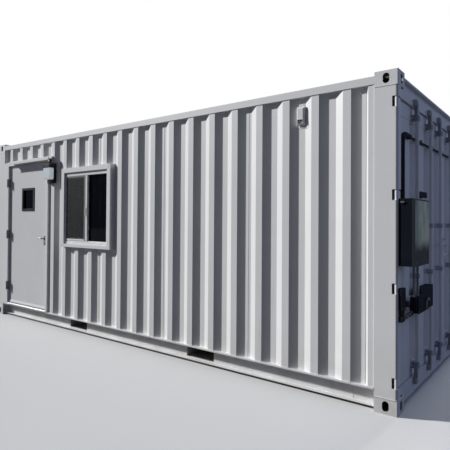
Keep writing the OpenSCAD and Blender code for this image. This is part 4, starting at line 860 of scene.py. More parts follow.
lite_low, lite_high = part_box("vision_frame")
cover, border = 0.032, rectangle(0.005, 0.004, 0.0012)
lites = [ring((lite_low[0] + cover, lite_low[2] + cover), (lite_high[0] - cover, lite_high[2] - cover),
              y, border, way)
         for y, way in ((leaf_face + 0.0150, FRONT), (leaf_back - 0.0150, BACK))]
make("vision_gasket", "rubber", *lites, body="door")
screw_in = 0.016
at = [lite_low[0] + screw_in, (lite_low[0] + lite_high[0]) / 2, lite_high[0] - screw_in]
up_at = [lite_low[2] + screw_in, (lite_low[2] + lite_high[2]) / 2, lite_high[2] - screw_in]
spots = [(x, leaf_back + 0.007, z) for x in at for z in up_at if not (x == at[1] and z == up_at[1])]
make("vision_screws", "black", copies(screw(BACK, 0.004, 0.0022), spots), body="door")

# %% [markdown]
# ## Hinges and lever
#
# The solid hinges have their plates, knuckles and pins already. What they lack are the small domes that
# close each pin above and below.

# %% Hinge caps
HINGE_H, PIN_IN = 0.120, 0.0075
jamb_low, jamb_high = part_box("door_hinge_jamb_plates")
pin = np.array([jamb_low[0] + PIN_IN, jamb_low[1] + PIN_IN])
hinge_z = [jamb_low[2] + HINGE_H / 2, (jamb_low[2] + jamb_high[2]) / 2, jamb_high[2] - HINGE_H / 2]
dome = [(0.0068, 0.0), (0.0062, 0.003), (0.004, 0.005), (0.0015, 0.0056)]
make("hinge_caps", "zinc",
     copies(spin(dome, (pin[0], pin[1], HINGE_H / 2), UP, 14), [(0, 0, z) for z in hinge_z]),
     copies(spin(dome, (pin[0], pin[1], -HINGE_H / 2), DOWN, 14), [(0, 0, z) for z in hinge_z]))

# %% [markdown]
# The lever is one swept tube on each side of the door: it leaves the rose square to the leaf, turns
# through a quarter circle, and bends a little back towards the leaf at its end. With $s$ from 0 to 1 over
# the points of the path, the tube's radius follows $w = 1 - 0.22 s$, and the last ring is drawn in to round
# the tip. Both tubes are one piece on the body of the lever, so they turn together.

# %% Lever, roses and lock
LEVER_R, LEVER_BEND, LEVER_RUN, TIP_BEND = 0.0105, 0.016, 0.100, 0.012
plate_low, plate_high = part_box("door_lock_plates")
hub_x, hub_z = (plate_low[0] + plate_high[0]) / 2, plate_high[2] - 0.033
lock_z = plate_low[2] + 0.017
lever_low, lever_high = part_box("door_lever")


def lever_path(y_door, out):
    """Out from the door, a quarter turn of radius LEVER_BEND, then a run that bends back by far^3."""
    reach, bend = abs(out), LEVER_BEND
    side = math.copysign(1.0, out)
    a = np.linspace(0.0, math.pi / 2, 8)
    turn_x, turn_y = -bend * (1 - np.cos(a)), side * (reach - bend + bend * np.sin(a))
    far = np.linspace(0.0, 1.0, 12)[1:]
    run_x, run_y = -bend - far * LEVER_RUN, side * (reach - TIP_BEND * far ** 3)
    x = np.concatenate([[0.0], turn_x, run_x])
    y = np.concatenate([[side * 0.009], turn_y, run_y])
    return np.column_stack([hub_x + x, y_door + y, np.full(len(x), hub_z)])


neck = [(0.017, 0.0082), (0.017, 0.014), (0.0145, 0.0175), (0.0115, 0.019)]
handles = []
for y_door, out, way in ((leaf_face, lever_low[1] + 0.0125 - leaf_face, FRONT),
                         (leaf_back, lever_high[1] - 0.0125 - leaf_back, BACK)):
    path = lever_path(y_door, out)
    swell = 1.0 - 0.22 * np.linspace(0.0, 1.0, len(path))
    swell[-1] *= 0.55
    handles.append(sweep(path, circle(LEVER_R, 16, 0.92), UP, swell=swell))
    handles.append(spin(neck, (hub_x, y_door, hub_z), way, 24))
make("lever_handles", "satin", *handles, body="lever")
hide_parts("door_lever")

dish = [(0.0332, 0.0), (0.0332, 0.0055), (0.0305, 0.0088), (0.0212, 0.0094), (0.0185, 0.0082)]
barrel = [(0.0172, 0.0), (0.0172, 0.0085), (0.0160, 0.0106), (0.0092, 0.0112), (0.0088, 0.0104)]
furniture = []
for y, way in ((leaf_face, FRONT), (leaf_back, BACK)):
    furniture += [spin(dish, (hub_x, y, hub_z), way, 32), spin(barrel, (hub_x, y, lock_z), way, 28)]
make("lever_roses", "satin", *furniture, body="door")
make("key_slot", "black", slab((hub_x - 0.0014, leaf_face - 0.0116, lock_z - 0.0062),
                               (hub_x + 0.0014, leaf_face - 0.0100, lock_z + 0.0048), 0.0004), body="door")

# %% [markdown]
# In the edge of the leaf sits a flat latch plate with a small fixed block in the place of the bolt. The drip
# cap is held to the sheet by a row of screws through its flange, and the threshold by another row.

# %% Latch plate, cap screws and threshold screws
PLATE_HALF, BLOCK_HALF, BLOCK_OUT = 0.0125, 0.006, 0.006
edge = leaf_high[0]
latch_y = (leaf_face + leaf_back) / 2
make("latch_plate", "satin",
     slab((edge - 0.001, latch_y - PLATE_HALF, hub_z - 0.090),
          (edge + 0.0012, latch_y + PLATE_HALF, hub_z + 0.062), 0.002),
     slab((edge, latch_y - BLOCK_HALF, hub_z - 0.013),
          (edge + BLOCK_OUT, latch_y + BLOCK_HALF, hub_z + 0.013), 0.003), body="door")
cap_low, cap_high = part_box("drip_cap")
cap_spots = [(x, -OUTER - 0.003, cap_high[2] - 0.006)
             for x in np.linspace(cap_low[0] + 0.05, cap_high[0] - 0.05, 7)]
make("cap_screws", "frame_white", copies(screw(FRONT, 0.0055, 0.003), cap_spots))
sill_low, sill_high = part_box("door_threshold")
sill_spots = [(x, -1.170, sill_high[2] - 0.0002)
              for x in np.linspace(sill_low[0] + 0.06, sill_high[0] - 0.06, 6)]
make("threshold_screws", "zinc", copies(screw(UP, 0.005, 0.0015), sill_spots))

# %% [markdown]
# ## Window
#
# Behind an insect screen in a thin frame lies the sash that slides. The screen's frame has broad rails
# above and below and slim sides, and a weave of fine wires fills it. Its top rail and sides are dark grey,
# painted shade from the frame around them, while the bottom rail, which lies in the light, is white vinyl.
# The weave is one thin sheet whose holes come from its material, because thousands of real wires would be
# too fine to see. A brush seals the stile next to the screen.

# %% Screen, its weave and its frame
screen_low, screen_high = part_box("screen_frame")
glass_low, glass_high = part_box("window_glass")
frame_low, frame_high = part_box("window_frame")
around_low, around_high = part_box("window_surround")
STILE_W, RAIL_H, SIDE_W, LAP = 0.056, 0.022, 0.009, 0.001
stile_x1 = screen_high[0] + STILE_W
x0, x1, z0, z1 = screen_low[0], screen_high[0], screen_low[2], screen_high[2]
y0, y1 = screen_low[1], screen_high[1]
# Painted shade: the top rail and the sides are dark grey, and the bottom rail in the light is white vinyl.
bars = [slab((x0, y0, z1 - RAIL_H), (x1, y1, z1), 0.0015),
        slab((x0, y0, z0 + RAIL_H - LAP), (x0 + SIDE_W, y1, z1 - RAIL_H + LAP), 0.0015),
        slab((x1 - SIDE_W, y0, z0 + RAIL_H - LAP), (x1, y1, z1 - RAIL_H + LAP), 0.0015)]
shaded_screen_bars = make("shaded_screen_bars", "brush_and_screen_shade", *bars)
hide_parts("screen_frame")
make("screen_rail", "vinyl", slab((x0, y0, z0), (x1, y1, z0 + RAIL_H), 0.0015))
make("stile_brush", "brush_and_screen_shade",
     slab((x1, y0 - 0.0008, z0 + 0.0005), (x1 + 0.020, y0 + 0.003, z1 - 0.0005), 0.0004))
WEAVE_IN, WEAVE_Y0, WEAVE_Y1 = 0.002, 0.0030, 0.0036
mesh_low = (x0 + SIDE_W - WEAVE_IN, y0 + WEAVE_Y0, z0 + RAIL_H - WEAVE_IN)
mesh_high = (x1 - SIDE_W + WEAVE_IN, y0 + WEAVE_Y1, z1 - RAIL_H + WEAVE_IN)
screen_weave = make("screen_weave", "screen", slab(mesh_low, mesh_high))
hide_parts("window_screen")
make("screen_spline", "rubber",
     ring((x0 + SIDE_W + 0.001, z0 + RAIL_H + 0.001), (x1 - SIDE_W - 0.001, z1 - RAIL_H - 0.001),
          y0 + 0.0026, circle(0.0016, 6)))

# %% [markdown]
# Dark rubber lines hold the panes. Two small curved covers stand where the sill would drain, the sash has
# an upright pull, and the steel surround shows the short welds of its mitred corners.

# %% Gaskets, drains, pull and mitres
gasket = rectangle(0.006, 0.004, 0.001, u=0.002)
pane_y, gasket_out = glass_high[1] - 0.005, 0.0018
make("pane_gaskets", "rubber",
     ring((stile_x1 - 0.0005, glass_low[2] - 0.0385), (frame_high[0] - 0.0285, glass_high[2] + 0.0005),
          pane_y - gasket_out, gasket),
     ring((glass_low[0], glass_low[2]), (screen_high[0] - 0.001, z1 - 0.0395),
          glass_low[1] - gasket_out, gasket))
DRAIN_IN, DRAIN_HALF, DRAIN_UP = 0.17, 0.022, 0.018
drain = [(-0.0035, -0.0060), (-0.006, 0.0), (-0.004, 0.0054), (0.0, 0.0066), (0.0, -0.0066)]
drain_z = frame_low[2] + DRAIN_UP
drains = [sweep([(x - DRAIN_HALF, frame_low[1], drain_z), (x + DRAIN_HALF, frame_low[1], drain_z)], drain, UP)
          for x in (frame_low[0] + DRAIN_IN, frame_high[0] - DRAIN_IN)]
make("drain_covers", "vinyl", *drains)
PULL_Z0, PULL_Z1 = 1.50, 1.60
grip_x = screen_high[0] + STILE_W / 2
make("sash_pull", "vinyl",
     slab((grip_x - 0.006, y0 - 0.007, PULL_Z0), (grip_x + 0.006, y0 + 0.001, PULL_Z1), 0.002))

SURROUND_W, LOWER_H, UPPER_H, MITRE_IN = 0.060, 0.040, 0.060, 0.002
face_y = around_low[1] - 0.0002
mitres = []
for x, sx, z, sz, rise in ((around_low[0], 1, around_low[2], 1, LOWER_H),
                           (around_high[0], -1, around_low[2], 1, LOWER_H),
                           (around_low[0], 1, around_high[2], -1, UPPER_H),
                           (around_high[0], -1, around_high[2], -1, UPPER_H)):
    mitres.append(sweep([(x + sx * MITRE_IN, face_y, z + sz * MITRE_IN),
                         (x + sx * (SURROUND_W - MITRE_IN), face_y, z + sz * (rise - MITRE_IN))],
                        circle(0.0014, 6), FRONT))
make("surround_mitres", "weld_white", *mitres)

# %% [markdown]
# ## Light
#
# The lens is a box of moulded plastic with upright prisms. Its plan is a rounded rectangle, the
# superellipse $|x/a|^n + |y/b|^n = 1$ with $n = 15$, whose radius is rippled by the prisms, and this
# outline shrinks a little over the lowest rows. A plain box with a bumpy material would keep a straight
# outline, and the ripple is what shows against the wall.

# %% Lens
lens_low, lens_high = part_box("light_lens")
LENS_LIFT, PRISMS, POWER, RIPPLE = 0.034, 34, 2 / 15, 0.010


def lens_skin():
    """Row i at height z_i: the outline a sgn(cos t)|cos t|^(2/15), b sgn(sin t)|sin t|^(2/15), rippled."""
    t = np.linspace(0.0, 2 * math.pi, PRISMS * 8, endpoint=False)
    c, s = np.cos(t), np.sin(t)
    shape = np.column_stack([np.sign(c) * np.abs(c) ** POWER, np.sign(s) * np.abs(s) ** POWER])
    ripple = 1.0 - RIPPLE * (0.5 + 0.5 * np.cos(PRISMS * 2 * t))
    half_w, half_d = (lens_high[0] - lens_low[0]) / 2, (lens_high[1] - lens_low[1]) / 2
    bottom, top = lens_low[2] + LENS_LIFT, lens_high[2]
    heights = np.array([bottom, bottom + 0.003, bottom + 0.012, bottom + 0.022, top - 0.004, top])
    shrink = np.array([0.80, 0.88, 0.96, 1.0, 1.0, 1.0])
    centre = ((lens_low[0] + lens_high[0]) / 2, (lens_low[1] + lens_high[1]) / 2)
    flat = shape[None] * ripple[None, :, None] * shrink[:, None, None] * (half_w, half_d)
    back = half_d * (1.0 - shrink)[:, None]
    points = np.dstack([flat[..., 0] + centre[0], flat[..., 1] + centre[1] + back,
                        np.broadcast_to(heights[:, None], flat.shape[:2])])
    return points.reshape(-1, 3), grid_faces(len(heights), len(t))


lens = make("lens_prisms", "lens", lens_skin(), sharp=50.0)
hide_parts("light_lens")

# %% [markdown]
# The black housing over the lens has a raised bead on its face, a backing bar behind the lens and two
# small feet. A round hood with a pale eye, as on lights that switch themselves on, stands at its right.

# %% Housing trim and sensor
house_low, house_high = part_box("light_housing")
mid_x = (house_low[0] + house_high[0]) / 2
hood_y, hood_z = house_low[1], lens_high[2]
foot = spin([(0.004, 0), (0.004, 0.003), (0.0028, 0.0042)], HERE, DOWN, 10)
make("housing_trim", "black",
     ring((house_low[0] + 0.006, hood_z + 0.006), (house_high[0] - 0.006, hood_z + 0.034),
          hood_y - 0.0006, circle(0.0022, 8)),
     slab((house_low[0] + 0.010, lens_high[1] - 0.006, lens_low[2] - 0.012),
          (house_high[0] - 0.010, lens_high[1], lens_low[2] + LENS_LIFT), 0.002),
     copies(foot, [(mid_x + s * 0.05, hood_y + 0.03, hood_z + 0.001) for s in (-1, 1)]))
hood = [(0.0165, 0.0), (0.0175, 0.010), (0.0215, 0.030), (0.0215, 0.048), (0.0190, 0.054), (0.0100, 0.056)]
eye_dome = [(0.0115, 0.0), (0.0115, 0.003), (0.0095, 0.0065), (0.0060, 0.0088), (0.0018, 0.0097)]
sensor_x = mid_x + 0.035
make("sensor_hood", "black", spin(hood, (sensor_x, house_low[1] + 0.040, house_high[2] - 0.0565), UP, 24))
# The eye has the lens look, so it too carries the painted glow.
make("sensor_eye", "lens", spin(eye_dome, (sensor_x, hood_y + 0.026, house_high[2] - 0.026), FRONT, 20))

# %% [markdown]
# ## Vents
#
# Each vent is a folded hood held by four screws through its ears, with a rolled rim round the mouth.

# %% Vent screws and rims
VENT_OUT, MOUTH_H = 0.040, 0.040
VENT_H, BELOW_MOUTH = 0.212, 0.13
ear_spots = [(vent_x + s * 0.014, -INNER - 0.003, z)
             for s in (-1, 1) for z in (vent_z0 + 0.013, vent_z1 - 0.013)]
ear_screws = copies(screw(FRONT, 0.0048, 0.0026), ear_spots)
make("vent_screws", "zinc", ear_screws, across(ear_screws))
mouth_z0 = vent_z0 + VENT_H * BELOW_MOUTH + 0.005
rim = ring((vent_x - 0.027, mouth_z0), (vent_x + 0.027, mouth_z0 + MOUTH_H), -INNER - VENT_OUT - 0.0005,
           circle(0.0018, 6))
make("vent_rims", "container_white", rim, across(rim))

# %% [markdown]
# ## Locking gear
#
# Four bars lock the cargo doors. A hooked cam at each end of a bar turns into a keeper, and beside it
# stands a guard, an arm with a lug that joins it to the leaf. The guards' dark grey and the keepers' grey
# are painted shade, for the shade in and beside the keepers. Guides hold the bar on the leaf with bolts,
# and a collar stands above and below each guide. The cams are outlines carried over their height.

# %% Cams, guards, bolts and collars
BAR_X, LEAF_X = 3.012, 2.972
INNER_BAR, OUTER_BAR = 0.190, 0.640
BAR_Y = [-OUTER_BAR, -INNER_BAR, INNER_BAR, OUTER_BAR]
gear_low, gear_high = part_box("locking_bars")
bar_foot, bar_head = gear_low[2], gear_high[2]


def prism_z(outline, x, y, z0, z1):
    """An outline in X and Y carried upwards: (x + u, y + v) at z0 and at z1."""
    return sweep([(x, y, z0), (x, y, z1)], np.array(outline, float)[:, ::-1] * (-1, 1), RIGHT)


CAM_H, ARM_H, LUG_H = 0.030, 0.125, 0.030
hook = [(-0.002, -0.0255), (0.010, -0.0262), (0.0165, -0.0235), (0.0170, -0.016), (0.0165, 0.016),
        (0.0165, 0.0235), (0.010, 0.0262), (-0.002, 0.0255)]
cams = [prism_z(hook, BAR_X, y, z, z + CAM_H) for y in BAR_Y for z in (bar_foot + 0.002, bar_head - 0.032)]
arms = [slab((BAR_X - 0.014, y - 0.0375, z), (BAR_X + 0.012, y - 0.0275, z + ARM_H), 0.002)
        for y in BAR_Y for z in (bar_foot + 0.046, bar_head - 0.171)]
lugs = [slab((LEAF_X, y - 0.0400, z), (BAR_X - 0.010, y - 0.0275, z + LUG_H), 0.002)
        for y in BAR_Y for z in (bar_foot + 0.120, bar_head - 0.150)]
make("cam_hooks", "gear_white", *cams)
make("cam_guards", "cam_shade_grey", *arms, *lugs)
guide_z = [0.248, 0.990, 1.410, 2.319]
BOLT_OUT = 0.040
nuts = [(LEAF_X + 0.006, y + s * BOLT_OUT, z) for y in BAR_Y for z in guide_z for s in (-1, 1)]
make("guide_bolts", "gear_white", copies(bolt(RIGHT, 0.0075, 0.008), nuts))
collar = [(0.0175, 0.0), (0.0225, 0.001), (0.0225, 0.009), (0.0175, 0.010)]
make("bar_collars", "gear_white", *[copies(spin(collar, HERE, UP, 24), [(BAR_X, y, z + d) for y in BAR_Y])
                                    for z in guide_z for d in (-0.031, 0.021)])

# %% [markdown]
# Each handle lies in a catch: a plate on the leaf with a small tray, and a flap that hangs over the handle
# from above. The handle's free end has a grip with cut corners, a swept rectangle whose two ends are
# drawn in.

# %% Handle catches, flaps and grips
INNER_HANDLE_Z, OUTER_HANDLE_Z = 1.222, 1.112
CATCH_REACH, TIP_REACH = 0.300, 0.345
TRAY_X0, TRAY_X1, FLAP_X0, FLAP_X1, GRIP_X = 2.999, 3.004, 2.9985, 3.0025, 2.992
catches, flaps, grips, rivets = [], [], [], []
for y in BAR_Y:
    inner = abs(y) < (INNER_BAR + OUTER_BAR) / 2
    side = math.copysign(1.0, y) * (1 if inner else -1)
    z = INNER_HANDLE_Z if inner else OUTER_HANDLE_Z
    c = y + side * CATCH_REACH
    catches += [slab((LEAF_X, c - 0.034, z - 0.060), (LEAF_X + 0.005, c + 0.034, z + 0.066), 0.003),
                slab((LEAF_X + 0.004, c - 0.022, z - 0.021), (TRAY_X1, c + 0.022, z - 0.014), 0.001),
                slab((TRAY_X0, c - 0.022, z - 0.021), (TRAY_X1, c + 0.022, z + 0.001), 0.001)]
    flaps += [slab((FLAP_X0, c - 0.013, z + 0.004), (FLAP_X1, c + 0.013, z + 0.052), 0.001),
              slab((LEAF_X + 0.004, c - 0.013, z + 0.040), (FLAP_X1, c + 0.013, z + 0.052), 0.001)]
    rivets += [(LEAF_X + 0.005, c + s * 0.024, z + d) for s in (-1, 1) for d in (-0.048, 0.055)]
    tip = y + side * TIP_REACH
    a, b = sorted((tip - side * 0.075, tip + side * 0.004))
    grips.append(sweep([(GRIP_X, a, z), (GRIP_X, a + 0.006, z), (GRIP_X, b - 0.006, z), (GRIP_X, b, z)],
                       rectangle(0.026, 0.013, 0.005), RIGHT, swell=[0.82, 1, 1, 0.82]))
make("handle_catches", "gear_white", *catches)
make("catch_flaps", "gear_white", *flaps)
make("handle_grips", "gear_white", *grips)
make("catch_rivets", "gear_white", copies(screw(RIGHT, 0.006, 0.004), rivets))

# %% [markdown]
# Rubber lips run round both leaves and close the gap to the frame. The hinge blades are welded to the
# leaves, and the pressed sheet of each leaf is welded into its frame of square tube. Above and below, that
# weld follows the two channels in which the bars lie.

# %% Door lips and leaf welds
leaf_y0, leaf_y1, leaf_z0, leaf_z1 = 0.004, 1.138, 0.158, 2.409
TUBE_W, TUBE_H = 0.070, 0.118
CHANNEL_HALF, CHANNEL_FLOOR, CHANNEL_DEPTH = 0.085, 0.051, 0.036
lips, seams = [], []
for s in (-1, 1):
    a, b = sorted((s * leaf_y0, s * leaf_y1))
    lips.append(ring((a, leaf_z0), (b, leaf_z1), LEAF_X - 0.005, circle(0.0055, 8), facing=RIGHT))
    inner_a, inner_b = sorted((s * (leaf_y0 + TUBE_W), s * (leaf_y1 - TUBE_W)))
    for z in (leaf_z0 + TUBE_H, leaf_z1 - TUBE_H):
        rows = [(LEAF_X, inner_a)]
        for bar in sorted(s * np.array([INNER_BAR, OUTER_BAR])):
            rows += [(LEAF_X, bar - CHANNEL_HALF), (LEAF_X - CHANNEL_DEPTH, bar - CHANNEL_FLOOR),
                     (LEAF_X - CHANNEL_DEPTH, bar + CHANNEL_FLOOR), (LEAF_X, bar + CHANNEL_HALF)]
        rows.append((LEAF_X, inner_b))
        seams.append(bead([(x + 0.0005, y, z) for x, y in rows], UP, 0.0026, 0.014))
    for y in (inner_a, inner_b):
        seams.append(bead([(LEAF_X + 0.0005, y, leaf_z0 + TUBE_H), (LEAF_X + 0.0005, y, leaf_z1 - TUBE_H)],
                          RIGHT, 0.0020, 0.016))
make("leaf_lips", "seal_grey", *lips)
HINGE_ROWS, BLADE_HALF, BLADE_FROM, BLADE_TO = np.linspace(0.243, 2.348, 4), 0.032, 1.126, 1.086
for s in (-1, 1):
    for z in HINGE_ROWS:
        for d in (-BLADE_HALF, BLADE_HALF):
            a, b = sorted((s * BLADE_FROM, s * BLADE_TO))
            seams.append(bead([(LEAF_X + 0.0085, a, z + d), (LEAF_X + 0.0085, b, z + d)],
                              RIGHT, 0.003, 0.008))
make("leaf_welds", "weld_white", *seams)

# %% [markdown]
# ## Electrical fittings
#
# The cabinet's cover hangs on two barrel hinges and is held by screws; the side latch has a raised
# thumb turn. A thin rubber line closes the gap behind the cover. Each box gets a lid with a rounded rim and
# its screws, so that no box is a bare block.

# %% Cabinet
HINGE_BARREL_Z, LATCH_X, LATCH_Z = (1.225, 1.505), 3.059, 1.590
SCREW_SIDE, SCREW_FOOT, SCREW_HEAD = 0.022, 0.025, 0.045
cab_y0, cab_y1 = cover_low[1], cover_high[1]
barrel_form = spin([(0.004, -0.030), (0.0062, -0.028), (0.0062, 0.028), (0.004, 0.030)], HERE, UP, 14)
face = cover_high[0] - 0.005
make("cabinet_hinges", "panel_shade_grey",
     copies(barrel_form, [(cover_low[0], cab_y1 + 0.004, z) for z in HINGE_BARREL_Z]))
cover_spots = [(face - 0.0005, y, z) for y in (cab_y0 + SCREW_SIDE, cab_y1 - SCREW_SIDE)
               for z in (cover_low[2] + SCREW_FOOT, cover_high[2] - SCREW_HEAD)]
make("cover_screws", "zinc", copies(screw(RIGHT, 0.006, 0.003), cover_spots))
make("cabinet_latch", "zinc",
     sweep([(LATCH_X, cab_y0 - 0.004, LATCH_Z), (LATCH_X, cab_y0 - 0.0065, LATCH_Z)],
           rectangle(0.032, 0.012, 0.004), UP),
     sweep([(LATCH_X - 0.012, cab_y0 - 0.009, LATCH_Z), (LATCH_X + 0.012, cab_y0 - 0.009, LATCH_Z)],
           rectangle(0.008, 0.006, 0.002), UP))
cover_gap = ring((cab_y0 + 0.0005, cover_low[2] + 0.0005), (cab_y1 - 0.0005, cover_high[2] - 0.0125),
                 cover_low[0] + 0.001, rectangle(0.003, 0.003), facing=RIGHT)
make("cabinet_gasket", "rubber", cover_gap)

# %% [markdown]
# Four boxes stand round the cabinet. Each is written down once, as the place of its face and its sides, and
# both its lid and its screws are worked out from that. The meter box has a knob and a bowed handle, and
# locknuts stand on both ends of the two conduits that come down from the cabinet.

# %% Boxes, knob and locknuts
LID_T = 0.004
METER = (3.093, -0.9135, -0.6265, 0.724, 0.850)
SWITCH = (3.034, -0.613, -0.217, 0.688, 0.877)
JUNCTION = (3.010, -0.540, -0.330, 1.660, 1.706)
POST_BOX = (3.054, -1.203, -1.123, 0.786, 0.949)
BOXES = {METER: 0.003, SWITCH: 0.003, JUNCTION: 0.002, POST_BOX: 0.0}


def lid(x, y0, y1, z0, z1, lip):
    """A slab LID_T thick whose edge stands out by lip, and a circle of radius 0.7 LID_T carried round it."""
    body = slab((x - 0.0005, y0 - lip, z0 - lip), (x + LID_T, y1 + lip, z1 + lip), 0.001)
    return together(body, ring((y0 - lip + 0.002, z0 - lip + 0.002), (y1 + lip - 0.002, z1 + lip - 0.002),
                               x + LID_T * 0.75, circle(LID_T * 0.7, 8), facing=RIGHT))


make("box_lids", "box_shade_grey", *[lid(*box, lip) for box, lip in BOXES.items()])
spots = []
for x, y0, y1, z0, z1 in BOXES:
    inset = min(0.012, (z1 - z0) * 0.25)
    spots += [(x + 0.0035, y, z) for y in (y0 + inset, y1 - inset) for z in (z0 + inset, z1 - inset)]
make("lid_screws", "zinc", copies(screw(RIGHT, 0.0042, 0.0025), spots))

KNOB_AT = (3.103, -0.6715, 0.809)
knob = [(0.0150, 0.0), (0.0150, 0.006), (0.0125, 0.008), (0.0120, 0.017), (0.0095, 0.0195), (0.004, 0.020)]
knob_handle = [(3.100, -0.690, 0.800), (3.105, -0.698, 0.775), (3.103, -0.700, 0.745), (3.098, -0.694, 0.728)]
make("meter_knob", "zinc", spin(knob, KNOB_AT, RIGHT, 24), sweep(knob_handle, circle(0.005, 10), RIGHT))
CONDUITS, CONDUIT_FOOT, CONDUIT_HEAD = [(3.056, -0.900), (3.067, -0.829)], 0.850, 1.115
nut = [(0.0135, 0.0), (0.0135, 0.010), (0.0118, 0.012), (0.0098, 0.013), (0.0098, 0.020)]
make("conduit_nuts", "zinc",
     copies(spin(nut, HERE, UP, 6), [(x, y, CONDUIT_FOOT) for x, y in CONDUITS]),
     copies(spin(nut, HERE, DOWN, 6), [(x, y, CONDUIT_HEAD) for x, y in CONDUITS]))

# %% [markdown]
# A thick sleeve guards the cable where it rises, round its bend and a little beyond. The sleeve is ribbed:
# its radius at step $i$ of the path is $r (1 + 0.06 \cos \pi i)$. Where it ends, a ferrule tapers to the bare
# cable, which runs on to a gland with an eight-sided nut and a plate. Each clip of the cable gets its screw.

# %% Cable sleeve, gland and clip screws
cable_low, cable_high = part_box("service_cable")
CABLE_Y, CABLE_Z, CABLE_X = cable_low[1] + 0.010, cable_high[2] - 0.010, 2.9835
BEND, SLEEVE_R, SLEEVE_END, RIB_STEP = 0.080, 0.0195, 0.19, 0.009
CLIP_FIRST, CLIP_STEP, CLIPS = 0.208, 0.4, 4
GLAND_X, GLAND_Y = 2.9862, 0.801


def elbow(x, y, z, r):
    """A quarter circle from rising to level, in the plane x: (x, y + r (1 - cos a), z - r + r sin a)."""
    a = np.linspace(0.0, math.pi / 2, 10)
    return np.column_stack([np.full(10, x), y + r * (1 - np.cos(a)), z - r + r * np.sin(a)])


sleeve_x = LEAF_X + 0.0205
path = np.vstack([[(sleeve_x, CABLE_Y, cable_low[2])], elbow(sleeve_x, CABLE_Y, CABLE_Z, BEND),
                  [(sleeve_x, CABLE_Y + SLEEVE_END, CABLE_Z - 0.002)]])
path = walk(path, RIB_STEP)
ribs = 1.0 + 0.06 * np.cos(np.arange(len(path)) * math.pi)
ferrule = [(SLEEVE_R + 0.003, 0), (SLEEVE_R + 0.003, 0.016), (0.013, 0.040), (0.0115, 0.052)]
bare = [(CABLE_X, CABLE_Y + 0.20, CABLE_Z), (CABLE_X, cable_high[1], CABLE_Z)]
sleeve = make("cable_sleeve", "jacket", sweep(path, circle(SLEEVE_R, 16), RIGHT, swell=ribs),
              spin(ferrule, (sleeve_x - 0.004, CABLE_Y + 0.185, CABLE_Z - 0.002), BACK, 20),
              sweep(bare, circle(0.0105, 14), RIGHT), sharp=60.0)
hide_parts("service_cable")
clip_y = [CABLE_Y + CLIP_FIRST + CLIP_STEP * k for k in range(CLIPS)]
make("clip_screws", "zinc",
     copies(screw(RIGHT, 0.0042, 0.0025), [(CABLE_X, y, CABLE_Z + 0.020) for y in clip_y]))
gland_end = [(0.020, 0.0), (0.020, 0.014), (0.017, 0.020), (0.0125, 0.026)]
make("gland_nut", "jacket", spin(gland_end, (GLAND_X, GLAND_Y, CABLE_Z), FRONT, 8),
     slab((LEAF_X + 0.028, 0.806, CABLE_Z - 0.024), (LEAF_X + 0.0320, 0.854, CABLE_Z + 0.024), 0.004))

# %% [markdown]
# Below the box on the post, three glands enter a small closed trunking. Two rigid pipes leave it for the
# meter box: one goes straight into the box's side and one turns up into its floor. Hexagon nuts sit
# where a pipe ends or is joined.

# %% Glands, trunking and pipes under the post box
POST_X_OUT, PIPE_FROM, PIPE_R = 3.042, -1.126, 0.008
HIGH_PIPE, LOW_PIPE, TURN, TURN_Y = 0.7325, 0.7075, 0.028, -0.890
GLAND_Y_ROW, NUT_Y, COUPLING_Y = (-1.188, -1.163, -1.138), -1.125, -1.020
gland = [(0.0105, 0.0), (0.0105, 0.012), (0.0130, 0.014), (0.0130, 0.028), (0.0085, 0.038), (0.0075, 0.044)]
make("post_glands", "jacket", *[spin(gland, (POST_X_OUT, y, POST_BOX[3]), DOWN, 12) for y in GLAND_Y_ROW])
make("post_trunking", "jacket", slab((3.0292, -1.203, 0.698), (3.0555, -1.125, 0.743), 0.004),
     sharp=30.0, round_edges=0.002)
high_pipe = [(POST_X_OUT, PIPE_FROM, HIGH_PIPE), (POST_X_OUT, METER[1] + 0.002, HIGH_PIPE)]
bend = np.linspace(0.0, math.pi / 2, 9)
low_pipe = np.vstack([[(POST_X_OUT, PIPE_FROM, LOW_PIPE)],
                      np.column_stack([np.full(len(bend), POST_X_OUT), TURN_Y + TURN * np.sin(bend),
                                       LOW_PIPE + TURN * (1 - np.cos(bend))])])
make("post_pipes", "conduit", sweep(high_pipe, circle(PIPE_R, 12), RIGHT),
     sweep(low_pipe, circle(PIPE_R, 12), RIGHT), sharp=50.0)
pipe_nut = [(0.0125, 0.0), (0.0125, 0.010), (0.0108, 0.012), (0.0095, 0.013), (0.0095, 0.020)]
nut_spots = ((NUT_Y, HIGH_PIPE, BACK), (NUT_Y, LOW_PIPE, BACK), (METER[1], HIGH_PIPE, FRONT),
             (COUPLING_Y, LOW_PIPE, BACK), (COUPLING_Y, LOW_PIPE, FRONT))
make("pipe_nuts", "zinc", *[spin(pipe_nut, (POST_X_OUT, y, z), way, 6) for y, z, way in nut_spots])

# %% [markdown]
# ## The room
#
# The door can swing open, so the room behind it is finished as well. Thin aluminium strips cover the
# joints of the boards on the back wall and the ceiling, a skirting runs along both long walls, and the
# inner edge of the door frame has a trim.

